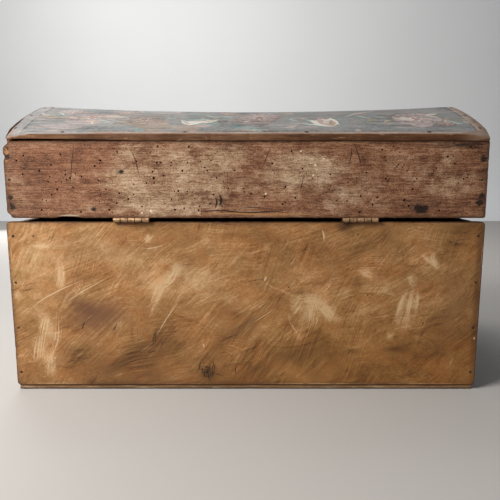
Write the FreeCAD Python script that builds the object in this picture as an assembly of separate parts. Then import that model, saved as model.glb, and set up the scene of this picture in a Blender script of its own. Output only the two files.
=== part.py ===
import FreeCAD
import Part
import math
import os

from FreeCAD import Vector

# Painted trunk: a nailed board box with a hinged, three-stave arched lid and a chest lock inside the front.
# Frame: +Z up, origin at the centre of the underside. The hinges are on the +Y side, the lock on the -Y side.
# Left and right are those of a person who stands before the lock, so right is +X. Sizes are millimetres.

# Box
trunk_length = 530.0  # along X, over the end boards
trunk_depth = 320.0  # along Y, over the front and back boards
board = 11.0  # thickness of the four walls of the base and of the lid
base_height = 195.0  # underside to the top edge of the base's back board
bottom_thickness = 5.0
bottom_inset = 2.5  # the bottom board stands in from the walls
end_board_drop = 2.0  # the base's end boards stop short of the back board's top edge
arris_radius = 1.2  # worn upright corners of the front and back boards

# Lid
lid_back_height = 84.0  # lid's lower edge to the underside of the stave at its outer edge
lid_seat_gap = 0.3  # lid's front board above the base's front board
shrink_gap = 2.6  # the lid's back board has shrunk this far from the stave at its right end
shrink_length = 115.0  # and meets the stave this far along

# Staves of the lid's top
stave_thickness = 7.2  # measured upright
stave_rise = 43.5  # outer edge of a slope stave to its joint with the crown stave
slope_camber = 3.5  # rounding of a slope stave over its chord
crown_camber = 2.2  # rounding of the crown stave over its chord
crown_width = 96.0
stave_seam = 0.4  # open joint between neighbouring staves
stave_overhang = 1.0  # past the front and back boards and the left end boards
stave_shortfall = 3.5  # the staves stop this far short of the right end boards' faces
stave_sag = 6.5  # the unsupported middle of the crown has sunk this far
sag_strip_count = 6  # straight stretches that the sag is drawn in

# Cut nails, square in section, with heads set below the wood
nail_length = 30.0
nail_head = 4.4
nail_shank = 2.6
nail_tip = 1.0
nail_head_thickness = 1.1
nail_set = 0.4  # head below the wood
nail_recess = 6.0  # the hole runs this far out past the surface
short_nail_length = 22.0  # through the staves and the bottom board
tack_length = 9.0  # for the ironwork of the lock
tack_head = 4.0
tack_shank = 2.0
base_corner_nail_count = 4  # in each corner
lid_corner_nail_count = 3  # in each corner
corner_nail_margin = 16.0  # first and last corner nail from the board's edges
stave_end_nail_count = 3
stave_edge_nail_count = 4
bottom_long_side_nail_count = 5
bottom_short_side_nail_count = 3
nail_row_margin = 65.0  # first and last nail of a row from the ends of the board
stave_end_margin = 5.5  # nails of a stave from its ends

# Butt hinges, five knuckles each
hinge_length = 40.0
hinge_spacing = 253.0  # centre to centre
knuckle_count = 5
knuckle_gap = 0.2
barrel_radius = 2.5
leaf_thickness = 1.3
leaf_swage = 0.5  # outer face of a leaf, inside the barrel's own height
leaf_reach = 10.0  # leaf over the edge of the board
knuckle_relief = 0.2  # leaf to the other leaf's knuckles
barrel_clearance = 0.3  # barrel to the corners of the boards
pin_radius = 1.2
running_clearance = 0.05
leaf_screw_count = 2
screw_spread = 26.0  # first to last screw of a leaf
screw_head_radius = 2.4
screw_shank_radius = 1.3
screw_head_depth = 1.0
screw_length = 14.0
screw_flat_count = 12  # head and shank are drawn with flats
screw_slot_width = 0.7
screw_slot_depth = 0.5
screw_clearance = 0.05

# Chest lock behind the front board
lock_plate_thickness = 1.5
lock_ear = 11.0  # plate past the case, on each side
lock_plate_rim = 4.0  # plate below the case
case_wall = 1.5
case_margin = 5.5  # works to the walls of the case
bolt_height = 7.0
bolt_thickness = 4.0
bolt_drop = 13.0  # lock's top edge to the middle of the bolt
bolt_clearance = 0.2
bolt_rest_gap = 2.0  # end of the drawn bolt to the staple
bolt_engagement = 3.0  # end of the thrown bolt past the staple
talon_length = 12.0  # notched lug under the bolt, which the key turns against
talon_height = 5.0
talon_notch = 5.0
guide_length = 4.0
guide_margin = 3.5  # metal round the bolt in its guides
guide_gap = 1.0  # talon to a guide at either end of the travel
bolt_show = 0.5  # bolt past its guides at either end of the travel
loop_thickness = 4.0
loop_rim = 3.0  # metal round the staple's eye
eye_clearance = 1.0  # bolt in the eye
loop_clearance = 1.2  # staple in the slot of the case
slot_margin = 0.8  # slot to the lock plate and to the case's back wall
strap_width = 24.0
strap_height = 27.0
strap_thickness = 2.0
strap_lift = 1.0  # strap above the lid's lower edge
keyhole_radius = 3.4
keyhole_slot_width = 3.2
keyhole_slot_length = 10.0  # from the round part's middle, and as far as the key's bit reaches
key_swing_gap = 0.5  # key's bit below the bolt
key_post_radius = 1.6
key_post_gap = 3.0  # free end of the post to the lock plate
tack_margin = 5.0  # tacks from the edges of the strap
lock_tack_margin = 10.0  # tacks from the top and bottom of the lock plate

# Places worked out from the sizes above
half_length = trunk_length / 2
half_depth = trunk_depth / 2
inner_half_length = half_length - board
inner_half_depth = half_depth - board
hinge_gap = 2 * (barrel_radius - leaf_swage)
lid_bottom = base_height + hinge_gap
front_top = lid_bottom - lid_seat_gap
stave_edge_y = half_depth + stave_overhang
stave_edge_z = lid_bottom + lid_back_height
stave_left_x = -half_length - stave_overhang
stave_right_x = half_length - stave_shortfall
stave_nail_places = (stave_left_x + stave_end_margin, stave_right_x - stave_end_margin)
crown_half = crown_width / 2
slope_joint_y = crown_half + stave_seam
joint_z = stave_edge_z + stave_rise
axis_y = half_depth + math.sqrt((barrel_radius + barrel_clearance) ** 2 - (hinge_gap / 2) ** 2)
axis_z = base_height + hinge_gap / 2
lock_face_y = -inner_half_depth
plate_face_y = lock_face_y + lock_plate_thickness
bolt_travel = bolt_rest_gap + loop_thickness + bolt_engagement
guide_x = talon_length / 2 + bolt_travel / 2 + guide_gap
bolt_left = -guide_x - guide_length - bolt_show
bolt_right = guide_x + guide_length + bolt_travel + bolt_show
staple_x = bolt_left - bolt_rest_gap - loop_thickness / 2
loop_half_depth = bolt_thickness / 2 + eye_clearance + loop_rim
bolt_y = plate_face_y + slot_margin + loop_clearance + loop_half_depth
bolt_z = front_top - bolt_drop
keyhole_drop = bolt_drop + bolt_height / 2 + key_swing_gap + keyhole_slot_length
keyhole_z = front_top - keyhole_drop
case_half_width = bolt_right + case_margin + case_wall
case_back_y = bolt_y + loop_half_depth + loop_clearance + slot_margin + case_wall
case_foot = keyhole_z - keyhole_slot_length - case_margin - case_wall
past = 1.0  # cutting shapes run this far past the faces that they open
UP, DOWN = Vector(0, 0, 1), Vector(0, 0, -1)
FRONTWARD, BACKWARD = Vector(0, -1, 0), Vector(0, 1, 0)


# Shared shapes


def box(x0, x1, y0, y1, z0, z1):
    """A block between two corners."""
    return Part.makeBox(x1 - x0, y1 - y0, z1 - z0, Vector(x0, y0, z0))


def rod(x0, x1, y, z, radius):
    """A round bar along X."""
    return Part.makeCylinder(radius, x1 - x0, Vector(x0, y, z), Vector(1, 0, 0))


def outline(points):
    """A closed flat outline through points, as a face."""
    return Part.Face(Part.makePolygon(points + points[:1]))


def spaced(count, first, last):
    """Places at an even pitch, both ends included."""
    return [first + (last - first) * i / (count - 1) for i in range(count)]


def driven(shape, point, way):
    """A copy of a nail or screw that was made along +Z from the surface at Z = 0."""
    placed = shape.copy()
    placed.Placement = FreeCAD.Placement(point, FreeCAD.Rotation(UP, way))
    return placed


def mirrored_in_depth(shape):
    """The same piece on the other side of the trunk's length."""
    return shape.mirror(Vector(0, 0, 0), BACKWARD)


def round_upright_corners(wall, y):
    """Wears the two upright corners of a front or back board on its outer face."""
    corners = [
        edge
        for edge in wall.Edges
        if abs(edge.CenterOfMass.y - y) < 0.01
        and abs(abs(edge.CenterOfMass.x) - half_length) < 0.01
    ]
    return wall.makeFillet(arris_radius, corners)


# Nails and screws


def tapered_shank(thick, thin, z0, z1):
    """A square bar along +Z that narrows evenly on all four sides."""
    wide, fine = thick / 2, thin / 2
    bar = Part.makeWedge(-wide, z0, -wide, -fine, -fine, wide, z1, wide, fine, fine)
    bar.rotate(Vector(0, 0, 0), Vector(1, 0, 0), 90)
    return bar


def nail_and_hole(length, head, shank):
    """A cut nail with a sunk head, and the hole that it fills, both along +Z."""
    neck = nail_set + nail_head_thickness
    half = head / 2
    taper = tapered_shank(shank, nail_tip, neck, length)
    nail = box(-half, half, -half, half, nail_set, neck).fuse(taper)
    hole = box(-half, half, -half, half, -nail_recess, neck).fuse(taper)
    return nail, hole


def nailed(kind, seats):
    """Nails of one kind and their holes, for seats given as (point, way) pairs."""
    nail, hole = kind
    return [driven(nail, *seat) for seat in seats], [driven(hole, *seat) for seat in seats]


def flats(radius, z):
    """Even-sided outline about the Z axis."""
    turns = [2 * math.pi * i / screw_flat_count for i in range(screw_flat_count)]
    return [Vector(radius * math.cos(turn), radius * math.sin(turn), z) for turn in turns]


def screw_blank(grow):
    """Countersunk screw along +Z with a blunt end, grown all round."""
    top, neck = flats(screw_head_radius + grow, 0), flats(screw_shank_radius + grow, screw_head_depth)
    corners = zip(top, top[1:] + top[:1], neck[1:] + neck[:1], neck)
    cone = [outline(list(side)) for side in corners]
    head = Part.makeSolid(Part.makeShell([outline(top), outline(neck)] + cone))
    shank = outline(neck).extrude(UP * (screw_length - screw_head_depth + grow))
    return head.fuse(shank)


def screw_and_hole():
    reach = screw_head_radius + past
    half = screw_slot_width / 2
    slot = box(-reach, reach, -half, half, -past, screw_slot_depth)
    return screw_blank(0).cut(slot), screw_blank(screw_clearance)


long_nail = nail_and_hole(nail_length, nail_head, nail_shank)
short_nail = nail_and_hole(short_nail_length, nail_head, nail_shank)
tack = nail_and_hole(tack_length, tack_head, tack_shank)


def corner_seats(bottom, top, count):
    """Nails through the front and back boards into the end boards."""
    x = half_length - board / 2
    heights = spaced(count, bottom + corner_nail_margin, top - corner_nail_margin)
    return [
        (Vector(side * x, face * half_depth, z), FRONTWARD * face)
        for z in heights
        for side in (-1, 1)
        for face in (-1, 1)
    ]


def bottom_seats():
    """Nails up through the bottom board into the four walls."""
    x = half_length - board / 2
    y = half_depth - board / 2
    along = spaced(bottom_long_side_nail_count, -half_length + nail_row_margin, half_length - nail_row_margin)
    across = spaced(bottom_short_side_nail_count, -half_depth + nail_row_margin, half_depth - nail_row_margin)
    long_sides = [(Vector(place, side * y, 0), UP) for place in along for side in (-1, 1)]
    short_sides = [(Vector(side * x, place, 0), UP) for place in across for side in (-1, 1)]
    return long_sides + short_sides


# Section of the lid's top


def slope_circle():
    """Middle (y, z) and radius of the underside of a slope stave."""
    run, rise = slope_joint_y - stave_edge_y, stave_rise
    chord = math.hypot(run, rise)
    radius = (chord**2 / 4 + slope_camber**2) / (2 * slope_camber)
    below = radius - slope_camber
    middle_y = (stave_edge_y + slope_joint_y) / 2 - rise / chord * below
    middle_z = (stave_edge_z + joint_z) / 2 + run / chord * below
    return middle_y, middle_z, radius


circle_y, circle_z, circle_radius = slope_circle()


def slope_z(y):
    """Height of the underside of the back slope stave, over its seats."""
    return circle_z + math.sqrt(circle_radius**2 - (y - circle_y) ** 2)


def arc(x, start, end, camber, lift=0.0):
    """An arc across the lid at x, between two (y, z) points, bulging by camber."""
    run, rise = end[0] - start[0], end[1] - start[1]
    chord = math.hypot(run, rise)
    top_y = (start[0] + end[0]) / 2 + rise / chord * camber
    top_z = (start[1] + end[1]) / 2 - run / chord * camber
    places = [start, (top_y, top_z), end]
    return Part.Arc(*[Vector(x, y, z + lift) for y, z in places]).toShape()


def slope_arc(x, start_y, end_y, sag=0.0, lift=0.0):
    """Underside of the back slope stave from start_y to end_y, tangent to its seat where the end has sunk."""
    start, end = (start_y, slope_z(start_y)), (end_y, slope_z(end_y) - sag)
    chord = math.hypot(end[0] - start[0], end[1] - start[1])
    tangent = math.atan2(start_y - circle_y, slope_z(start_y) - circle_z)
    chord_slope = math.atan2(end[1] - start[1], start[0] - end[0])
    camber = chord / 2 * math.tan((tangent - chord_slope) / 2)
    return arc(x, start, end, camber, lift)


def crown_arc(x, sag=0.0, lift=0.0):
    start, end = (crown_half, joint_z - sag), (-crown_half, joint_z - sag)
    return arc(x, start, end, crown_camber, lift)


def closed_section(lower, upper):
    """The outline between an underside and an upper side that run the same way."""
    first, last = lower.Vertexes[0].Point, lower.Vertexes[-1].Point
    above_first, above_last = upper.Vertexes[0].Point, upper.Vertexes[-1].Point
    ends = [Part.makeLine(last, above_last), Part.makeLine(above_first, first)]
    return Part.Wire(Part.__sortEdges__([lower, ends[0], upper, ends[1]]))


def slope_section(x, start_y, end_y, sag=0.0):
    lower = slope_arc(x, start_y, end_y, sag)
    return closed_section(lower, slope_arc(x, start_y, end_y, sag, stave_thickness))


def crown_section(x, sag=0.0):
    return closed_section(crown_arc(x, sag), crown_arc(x, sag, stave_thickness))


# Staves


def straight_run(section_at, x0, x1):
    return Part.Face(section_at(x0)).extrude(Vector(x1 - x0, 0, 0))


def sagging_run(section_at):
    """The stretch between the end boards, sunk most in its middle."""
    places = spaced(sag_strip_count + 1, -inner_half_length, inner_half_length)
    sections = [section_at(x, stave_sag * (1 - (x / inner_half_length) ** 2)) for x in places]
    return Part.makeLoft(sections, True, True)


def make_slope_stave():
    """Back slope stave: straight where it is nailed to the back and end boards, sagging where it is free."""

    def seat(x):
        return slope_section(x, stave_edge_y, inner_half_depth)

    def free(x, sag=0.0):
        return slope_section(x, inner_half_depth, slope_joint_y, sag)

    parts = [
        straight_run(free, stave_left_x, -inner_half_length),
        straight_run(free, inner_half_length, stave_right_x),
        sagging_run(free),
    ]
    return straight_run(seat, stave_left_x, stave_right_x).multiFuse(parts)


def make_crown_stave():
    ends = [
        straight_run(crown_section, stave_left_x, -inner_half_length),
        straight_run(crown_section, inner_half_length, stave_right_x),
    ]
    return sagging_run(crown_section).multiFuse(ends)


def slope_end_seats():
    """Nails square to the slope staves, into the arched edges of the end boards."""
    first, last = stave_edge_y - corner_nail_margin, slope_joint_y + corner_nail_margin / 2
    seats = []
    for y in spaced(stave_end_nail_count, first, last):
        lean = math.atan2(y - circle_y, slope_z(y) - circle_z)
        for x in stave_nail_places:
            for face in (-1, 1):
                point = Vector(x, face * y, slope_z(y) + stave_thickness)
                seats.append((point, Vector(0, -face * math.sin(lean), -math.cos(lean))))
    return seats


def crown_end_seats():
    z = joint_z + crown_camber + stave_thickness
    reach = crown_half - corner_nail_margin
    return [
        (Vector(x, y, z), DOWN)
        for y in spaced(stave_end_nail_count, -reach, reach)
        for x in stave_nail_places
    ]


def stave_edge_seats():
    """Upright nails through the outer edges of the slope staves, into the front and back boards."""
    y = half_depth - board / 2
    z = slope_z(y) + stave_thickness
    places = spaced(stave_edge_nail_count, -half_length + nail_row_margin, half_length - nail_row_margin)
    return [(Vector(x, face * y, z), DOWN) for x in places for face in (-1, 1)]


# Base


def base_end_outline(x):
    """The end board's top edge climbs from the hinge side to the seat of the lid at the front."""
    y = inner_half_depth
    return outline(
        [
            Vector(x, -y, bottom_thickness),
            Vector(x, y, bottom_thickness),
            Vector(x, y, base_height - end_board_drop),
            Vector(x, -y, front_top),
        ]
    )


def keyhole(y0, y1):
    """The keyhole's cut between two depths."""
    half = keyhole_slot_width / 2
    foot_z = keyhole_z - keyhole_slot_length + half
    deep = y1 - y0
    round_part = Part.makeCylinder(keyhole_radius, deep, Vector(0, y0, keyhole_z), BACKWARD)
    foot = Part.makeCylinder(half, deep, Vector(0, y0, foot_z), BACKWARD)
    slot = Part.makeBox(2 * half, deep, keyhole_z - foot_z, Vector(-half, y0, foot_z))
    return round_part.multiFuse([slot, foot])


def make_base_boards():
    x, y = half_length, half_depth
    back = box(-x, x, inner_half_depth, y, bottom_thickness, base_height)
    front = box(-x, x, -y, -inner_half_depth, bottom_thickness, front_top)
    rim = bottom_inset
    return {
        "base_back_board": round_upright_corners(back, y),
        "base_front_board": round_upright_corners(front, -y).cut(keyhole(-y - past, lock_face_y + past)),
        "base_left_end": base_end_outline(-x).extrude(Vector(board, 0, 0)),
        "base_right_end": base_end_outline(x - board).extrude(Vector(board, 0, 0)),
        "bottom_board": box(rim - x, x - rim, rim - y, y - rim, 0, bottom_thickness),
    }


# Lid


def lid_end_face(x):
    """End board of the lid, with the arched top that carries the staves."""
    y = inner_half_depth
    back_slope = slope_arc(x, y, slope_joint_y)
    front_slope = mirrored_in_depth(back_slope)
    left, right = Vector(x, -y, lid_bottom), Vector(x, y, lid_bottom)
    edges = [
        Part.makeLine(left, right),
        Part.makeLine(right, Vector(x, y, slope_z(y))),
        back_slope,
        Part.makeLine(Vector(x, slope_joint_y, joint_z), Vector(x, crown_half, joint_z)),
        crown_arc(x),
        Part.makeLine(Vector(x, -crown_half, joint_z), Vector(x, -slope_joint_y, joint_z)),
        front_slope,
        Part.makeLine(Vector(x, -y, slope_z(y)), left),
    ]
    return Part.Face(Part.Wire(Part.__sortEdges__(edges)))


def make_lid_wall():
    """Back board of the lid, with its top edge planed to the slope of the stave."""
    x = -half_length
    outer, inner = half_depth, inner_half_depth
    corners = [
        Vector(x, outer, slope_z(outer)),
        Vector(x, outer, lid_bottom),
        Vector(x, inner, lid_bottom),
        Vector(x, inner, slope_z(inner)),
    ]
    edges = [slope_arc(x, outer, inner)]
    edges += [Part.makeLine(a, b) for a, b in zip(corners, corners[1:])]
    wall = Part.Face(Part.Wire(Part.__sortEdges__(edges))).extrude(Vector(trunk_length, 0, 0))
    return round_upright_corners(wall, outer)


def shrinkage():
    """Wedge of wood that the lid's back board has lost under the stave, at its right end."""
    y0, y1 = inner_half_depth - past, half_depth + past
    top = slope_z(inner_half_depth) + past
    edge = slope_z(half_depth)
    start, end = half_length - shrink_length, half_length + past
    corners = [
        Vector(start, y0, top),
        Vector(start, y0, edge),
        Vector(end, y0, edge - shrink_gap),
        Vector(end, y0, top),
    ]
    return outline(corners).extrude(Vector(0, y1 - y0, 0))


def make_lid_boards():
    wall = make_lid_wall()
    left = lid_end_face(-half_length).extrude(Vector(board, 0, 0))
    right = lid_end_face(inner_half_length).extrude(Vector(board, 0, 0))
    slope = make_slope_stave()
    return {
        "lid_back_board": wall.cut(shrinkage()),
        "lid_front_board": mirrored_in_depth(wall),
        "lid_left_end": left,
        "lid_right_end": right,
        "top_back_stave": slope,
        "top_crown_stave": make_crown_stave(),
        "top_front_stave": mirrored_in_depth(slope),
    }


# Hinges


def knuckle_spans(middle_x):
    """Start and end of each knuckle along the barrel."""
    pitch = hinge_length / knuckle_count
    start = middle_x - hinge_length / 2
    return [
        (start + i * pitch + knuckle_gap / 2, start + (i + 1) * pitch - knuckle_gap / 2)
        for i in range(knuckle_count)
    ]


def make_leaf(middle_x, z0, own_first):
    """One leaf with every second knuckle, from the first or the second one on."""
    half = hinge_length / 2
    x0, x1 = middle_x - half, middle_x + half
    z1 = z0 + leaf_thickness
    plate = box(x0, x1, half_depth - leaf_reach, axis_y, z0, z1)
    spans = knuckle_spans(middle_x)
    own, other = spans[own_first::2], spans[1 - own_first :: 2]
    notch_y = axis_y - barrel_radius - knuckle_relief
    notches = [box(a - knuckle_gap, b + knuckle_gap, notch_y, axis_y, z0, z1) for a, b in other]
    barrel = [rod(a, b, axis_y, axis_z, barrel_radius) for a, b in own]
    reach = half + past
    bore_radius = pin_radius + running_clearance
    bore = rod(middle_x - reach, middle_x + reach, axis_y, axis_z, bore_radius)
    return plate.cut(notches).multiFuse(barrel).cut(bore)


def make_pin(middle_x):
    """Pin through all the knuckles, cut flush with the ends of the barrel."""
    half = hinge_length / 2
    return rod(middle_x - half, middle_x + half, axis_y, axis_z, pin_radius)


def leaf_screw_seats(middle_x, z, way):
    y = half_depth - leaf_reach / 2
    places = spaced(leaf_screw_count, middle_x - screw_spread / 2, middle_x + screw_spread / 2)
    return [(Vector(x, y, z), way) for x in places]


def make_hinges():
    """Leaves, pins and screws, with the screw holes for the two boards."""
    lower_z, upper_z = base_height, lid_bottom - leaf_thickness
    nodes, lower_seats, upper_seats = {}, [], []
    for name, x in (("left", -hinge_spacing / 2), ("right", hinge_spacing / 2)):
        nodes[f"hinge_{name}_lower_leaf"] = make_leaf(x, lower_z, 0)
        nodes[f"hinge_{name}_upper_leaf"] = make_leaf(x, upper_z, 1)
        nodes[f"hinge_{name}_pin"] = make_pin(x)
        lower_seats += leaf_screw_seats(x, lower_z + leaf_thickness, DOWN)
        upper_seats += leaf_screw_seats(x, upper_z, UP)
    screw = screw_and_hole()
    lower_screws, lower_holes = nailed(screw, lower_seats)
    upper_screws, upper_holes = nailed(screw, upper_seats)
    for name in ("left", "right"):
        nodes[f"hinge_{name}_lower_leaf"] = nodes[f"hinge_{name}_lower_leaf"].cut(lower_holes)
        nodes[f"hinge_{name}_upper_leaf"] = nodes[f"hinge_{name}_upper_leaf"].cut(upper_holes)
    nodes["hinge_lower_screws"] = Part.makeCompound(lower_screws)
    nodes["hinge_upper_screws"] = Part.makeCompound(upper_screws)
    return nodes, lower_holes, upper_holes


# Lock


def make_bolt():
    """Sliding bolt, drawn back, with a notched talon below it."""
    half, thick = bolt_height / 2, bolt_thickness / 2
    y0, y1 = bolt_y - thick, bolt_y + thick
    bar = box(bolt_left, bolt_right, y0, y1, bolt_z - half, bolt_z + half)
    low, high = bolt_z - half - talon_height, bolt_z - half
    middle = bolt_travel / 2
    talon = box(middle - talon_length / 2, middle + talon_length / 2, y0, y1, low, high)
    notch = box(middle - talon_notch / 2, middle + talon_notch / 2, y0, y1, low, high)
    return bar.fuse(talon.cut(notch))


def make_guide(x):
    """Lug on the lock plate that the bolt slides through."""
    tall = bolt_height / 2 + bolt_clearance
    deep = bolt_thickness / 2 + bolt_clearance
    rim = guide_margin
    x1 = x + guide_length
    lug = box(x, x1, plate_face_y, bolt_y + deep + rim, bolt_z - tall - rim, bolt_z + tall + rim)
    way = box(x, x1, bolt_y - deep, bolt_y + deep, bolt_z - tall, bolt_z + tall)
    return lug.cut(way)


def make_lock_plate():
    """Plate on the inside of the front board, with the two bolt guides and the keyhole."""
    half = case_half_width + lock_ear
    plate = box(-half, half, lock_face_y, plate_face_y, case_foot - lock_plate_rim, front_top)
    guides = [make_guide(-guide_x - guide_length), make_guide(guide_x)]
    return plate.cut(keyhole(lock_face_y - past, plate_face_y + past)).multiFuse(guides)


def make_lock_case():
    """Cover over the lock's works, open towards the plate, with the staple's slot in its top."""
    half, inside = case_half_width, case_half_width - case_wall
    back, roof = case_back_y - case_wall, front_top - case_wall
    shell = box(-half, half, plate_face_y, case_back_y, case_foot, front_top)
    hollow = box(-inside, inside, plate_face_y, back, case_foot + case_wall, roof)
    across = loop_thickness / 2 + loop_clearance
    deep = loop_half_depth + loop_clearance
    slot = box(staple_x - across, staple_x + across, bolt_y - deep, bolt_y + deep, roof, front_top)
    radius = key_post_radius + running_clearance
    rivet_hole = Part.makeCylinder(radius, case_wall, Vector(0, back, keyhole_z), BACKWARD)
    return shell.cut([hollow, slot, rivet_hole])


def make_key_post():
    """Post that the hollow key turns on, riveted into the case."""
    start = plate_face_y + key_post_gap
    return Part.makeCylinder(key_post_radius, case_back_y - start, Vector(0, start, keyhole_z), BACKWARD)


def make_staple():
    """Strap on the inside of the lid's front board, with the eye that the bolt runs through."""
    x0, x1 = staple_x - loop_thickness / 2, staple_x + loop_thickness / 2
    strap_x0, strap_x1 = staple_x - strap_width / 2, staple_x + strap_width / 2
    strap_y = lock_face_y + strap_thickness
    foot = lid_bottom + strap_lift
    strap = box(strap_x0, strap_x1, lock_face_y, strap_y, foot, foot + strap_height)
    eye_tall = bolt_height / 2 + eye_clearance
    eye_deep = bolt_thickness / 2 + eye_clearance
    arm_top = foot + strap_height / 2
    loop_foot = bolt_z - eye_tall - loop_rim
    loop = box(x0, x1, bolt_y - loop_half_depth, bolt_y + loop_half_depth, loop_foot, arm_top)
    arm = box(x0, x1, strap_y, bolt_y, foot, arm_top)
    eye = box(x0, x1, bolt_y - eye_deep, bolt_y + eye_deep, bolt_z - eye_tall, bolt_z + eye_tall)
    return strap.multiFuse([arm, loop]).cut(eye)


def lock_tack_seats():
    x = case_half_width + lock_ear / 2
    heights = (front_top - lock_tack_margin, case_foot - lock_plate_rim + lock_tack_margin)
    return [(Vector(side * x, plate_face_y, z), FRONTWARD) for side in (-1, 1) for z in heights]


def staple_tack_seats():
    x = strap_width / 2 - tack_margin
    y = lock_face_y + strap_thickness
    foot = lid_bottom + strap_lift
    heights = (foot + tack_margin, foot + strap_height - tack_margin)
    return [(Vector(staple_x + side * x, y, z), FRONTWARD) for side in (-1, 1) for z in heights]


# The whole trunk


def cut_from(nodes, names, holes):
    for name in names:
        nodes[name] = nodes[name].cut(holes)


def make_trunk():
    hinges, lower_holes, upper_holes = make_hinges()
    nodes = make_base_boards() | make_lid_boards() | hinges
    nodes["lock_plate"] = make_lock_plate()
    nodes["lock_case"] = make_lock_case()
    nodes["lock_bolt"] = make_bolt()
    nodes["lock_key_post"] = make_key_post()
    nodes["lock_staple"] = make_staple()

    base_walls = ["base_back_board", "base_front_board", "base_left_end", "base_right_end"]
    lid_walls = ["lid_back_board", "lid_front_board", "lid_left_end", "lid_right_end"]
    staves = ["top_back_stave", "top_crown_stave", "top_front_stave"]
    stave_seats = slope_end_seats() + crown_end_seats() + stave_edge_seats()
    base_seats = corner_seats(bottom_thickness, base_height, base_corner_nail_count)
    lid_seats = corner_seats(lid_bottom, stave_edge_z, lid_corner_nail_count)
    groups = [
        ("base_corner_nails", long_nail, base_seats, base_walls),
        ("bottom_nails", short_nail, bottom_seats(), base_walls + ["bottom_board"]),
        ("lid_corner_nails", long_nail, lid_seats, lid_walls),
        ("stave_nails", short_nail, stave_seats, lid_walls + staves),
        ("lock_tacks", tack, lock_tack_seats(), ["lock_plate", "base_front_board"]),
        ("staple_tacks", tack, staple_tack_seats(), ["lock_staple", "lid_front_board"]),
    ]
    for name, kind, seats, held in groups:
        nails, holes = nailed(kind, seats)
        nodes[name] = Part.makeCompound(nails)
        cut_from(nodes, held, holes)
    cut_from(nodes, ["base_back_board"], lower_holes)
    cut_from(nodes, ["lid_back_board"], upper_holes)
    return nodes


def export(nodes):
    os.makedirs("parts", exist_ok=True)
    for name, shape in sorted(nodes.items()):
        solids = shape.Solids
        sound = all(solid.isValid() and solid.Volume > 0 for solid in solids)
        state = "valid" if sound else "NOT VALID"
        print(f"{name}: {len(solids)} solid(s), {shape.Volume:.0f} mm3, {state}")
        shape.exportStep(f"parts/{name}.step")


export(make_trunk())
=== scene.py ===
"""The painted trunk's look: worn boards, painted staves and aged metal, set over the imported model."""

import math
import random

import bpy
import numpy as np
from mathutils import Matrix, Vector, geometry, noise


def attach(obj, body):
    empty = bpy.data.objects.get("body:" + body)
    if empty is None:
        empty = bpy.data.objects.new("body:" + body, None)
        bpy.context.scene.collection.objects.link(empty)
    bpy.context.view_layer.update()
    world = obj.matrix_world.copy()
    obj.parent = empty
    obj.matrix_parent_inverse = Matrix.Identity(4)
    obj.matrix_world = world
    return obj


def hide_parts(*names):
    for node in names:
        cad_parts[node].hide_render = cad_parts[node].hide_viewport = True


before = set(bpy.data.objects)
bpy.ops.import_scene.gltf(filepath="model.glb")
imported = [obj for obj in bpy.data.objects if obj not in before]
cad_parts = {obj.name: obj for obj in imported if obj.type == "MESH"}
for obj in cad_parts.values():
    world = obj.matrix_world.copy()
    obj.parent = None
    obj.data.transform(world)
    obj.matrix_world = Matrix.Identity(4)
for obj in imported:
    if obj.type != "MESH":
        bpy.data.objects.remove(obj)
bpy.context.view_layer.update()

# Sizes in mm from the part's source

MM = 0.001
HALF_LENGTH = 265.0
HALF_DEPTH = 160.0
BOARD = 11.0
INNER_LENGTH = HALF_LENGTH - BOARD
INNER_DEPTH = HALF_DEPTH - BOARD
BASE_FOOT = 5.0
BASE_TOP = 195.0
FRONT_TOP = 198.7
END_TOP = 193.0
LID_FOOT = 199.0
HINGE_INNER_END, KNUCKLE_PITCH = 106.5, 8.0
STAVE_LEFT, STAVE_RIGHT, STAVE_REACH = -266.0, 261.5, 161.0
STAVE_DEPTH = 7.2
STAVE_SAG = 6.5
JOINT_Y, JOINT_Z = 48.4, 326.5
CROWN_HALF, CROWN_CAMBER = 48.0, 2.2
CIRCLE_Y, CIRCLE_Z, CIRCLE_RADIUS = -82.2, -179.0, 522.1
KEYHOLE_Z, KEYHOLE_RADIUS, KEYHOLE_SLOT, KEYHOLE_FOOT = 171.7, 3.4, 1.6, 10.0
CORNER_NAIL_X = 259.5
BASE_NAIL_HEIGHTS = (21.0, 73.7, 126.3, 179.0)
LID_NAIL_HEIGHTS = (215.0, 241.0, 267.0)
STAVE_NAIL_X = (-260.5, 256.0)
STAVE_END_NAILS = (145.0, 100.7, 56.4)
STAVE_EDGE_NAIL_Y = 154.5
STAVE_EDGE_NAILS = (-200.0, -66.7, 66.7, 200.0)
CROWN_NAILS = (-32.0, 0.0, 32.0)
BOTTOM_LONG_NAILS, BOTTOM_NAIL_Y = (-200, -100, 0, 100, 200), 153.5
BOTTOM_SHORT_NAILS, BOTTOM_NAIL_X = (-95, 0, 95), 258.5

# Sizes in mm of wear and trim

BACK_FLARE = 1.4
LID_LIP = 1.0
BOTTOM_INSET = 0.9
PLATE_DEPTH = 0.9
NAIL_PIT_HALF, NAIL_PIT_DEPTH = 1.4, 1.7
STAVE_END_PIT, STAVE_EDGE_PIT = 2.2, 0.8
NAIL_PIT_CORNERS = ((-1, -0.8), (0, -1), (1, -0.8), (1.05, 0), (1, 0.8), (0, 1), (-1, 0.8), (-1.05, 0))
BOTTOM_PIT_RADIUS = 1.7
WORM_DEPTH, WORM_GAP, NAIL_ROOM = 6.0, 0.8, 4.0
EDGE_REACH = 5.0
HOLLOW_SIZE, HOLLOW_CUT = 40.0, 0.5
NICK_SIZE, NICK_START, NICK_CUT = 6.0, 0.22, 2.2
WAVE_LENGTH, WAVE_WIDTH, WAVE_DEPTH = 55, 38, 0.16
RIPPLE_LENGTH, RIPPLE_WIDTH, RIPPLE_DEPTH = 14, 7, 0.06
FACE_DROP = 0.1
PIT_CLEARANCE, BACK_CLEARANCE, BACK_SLACK = 0.9, 4.0, 1.0
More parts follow.
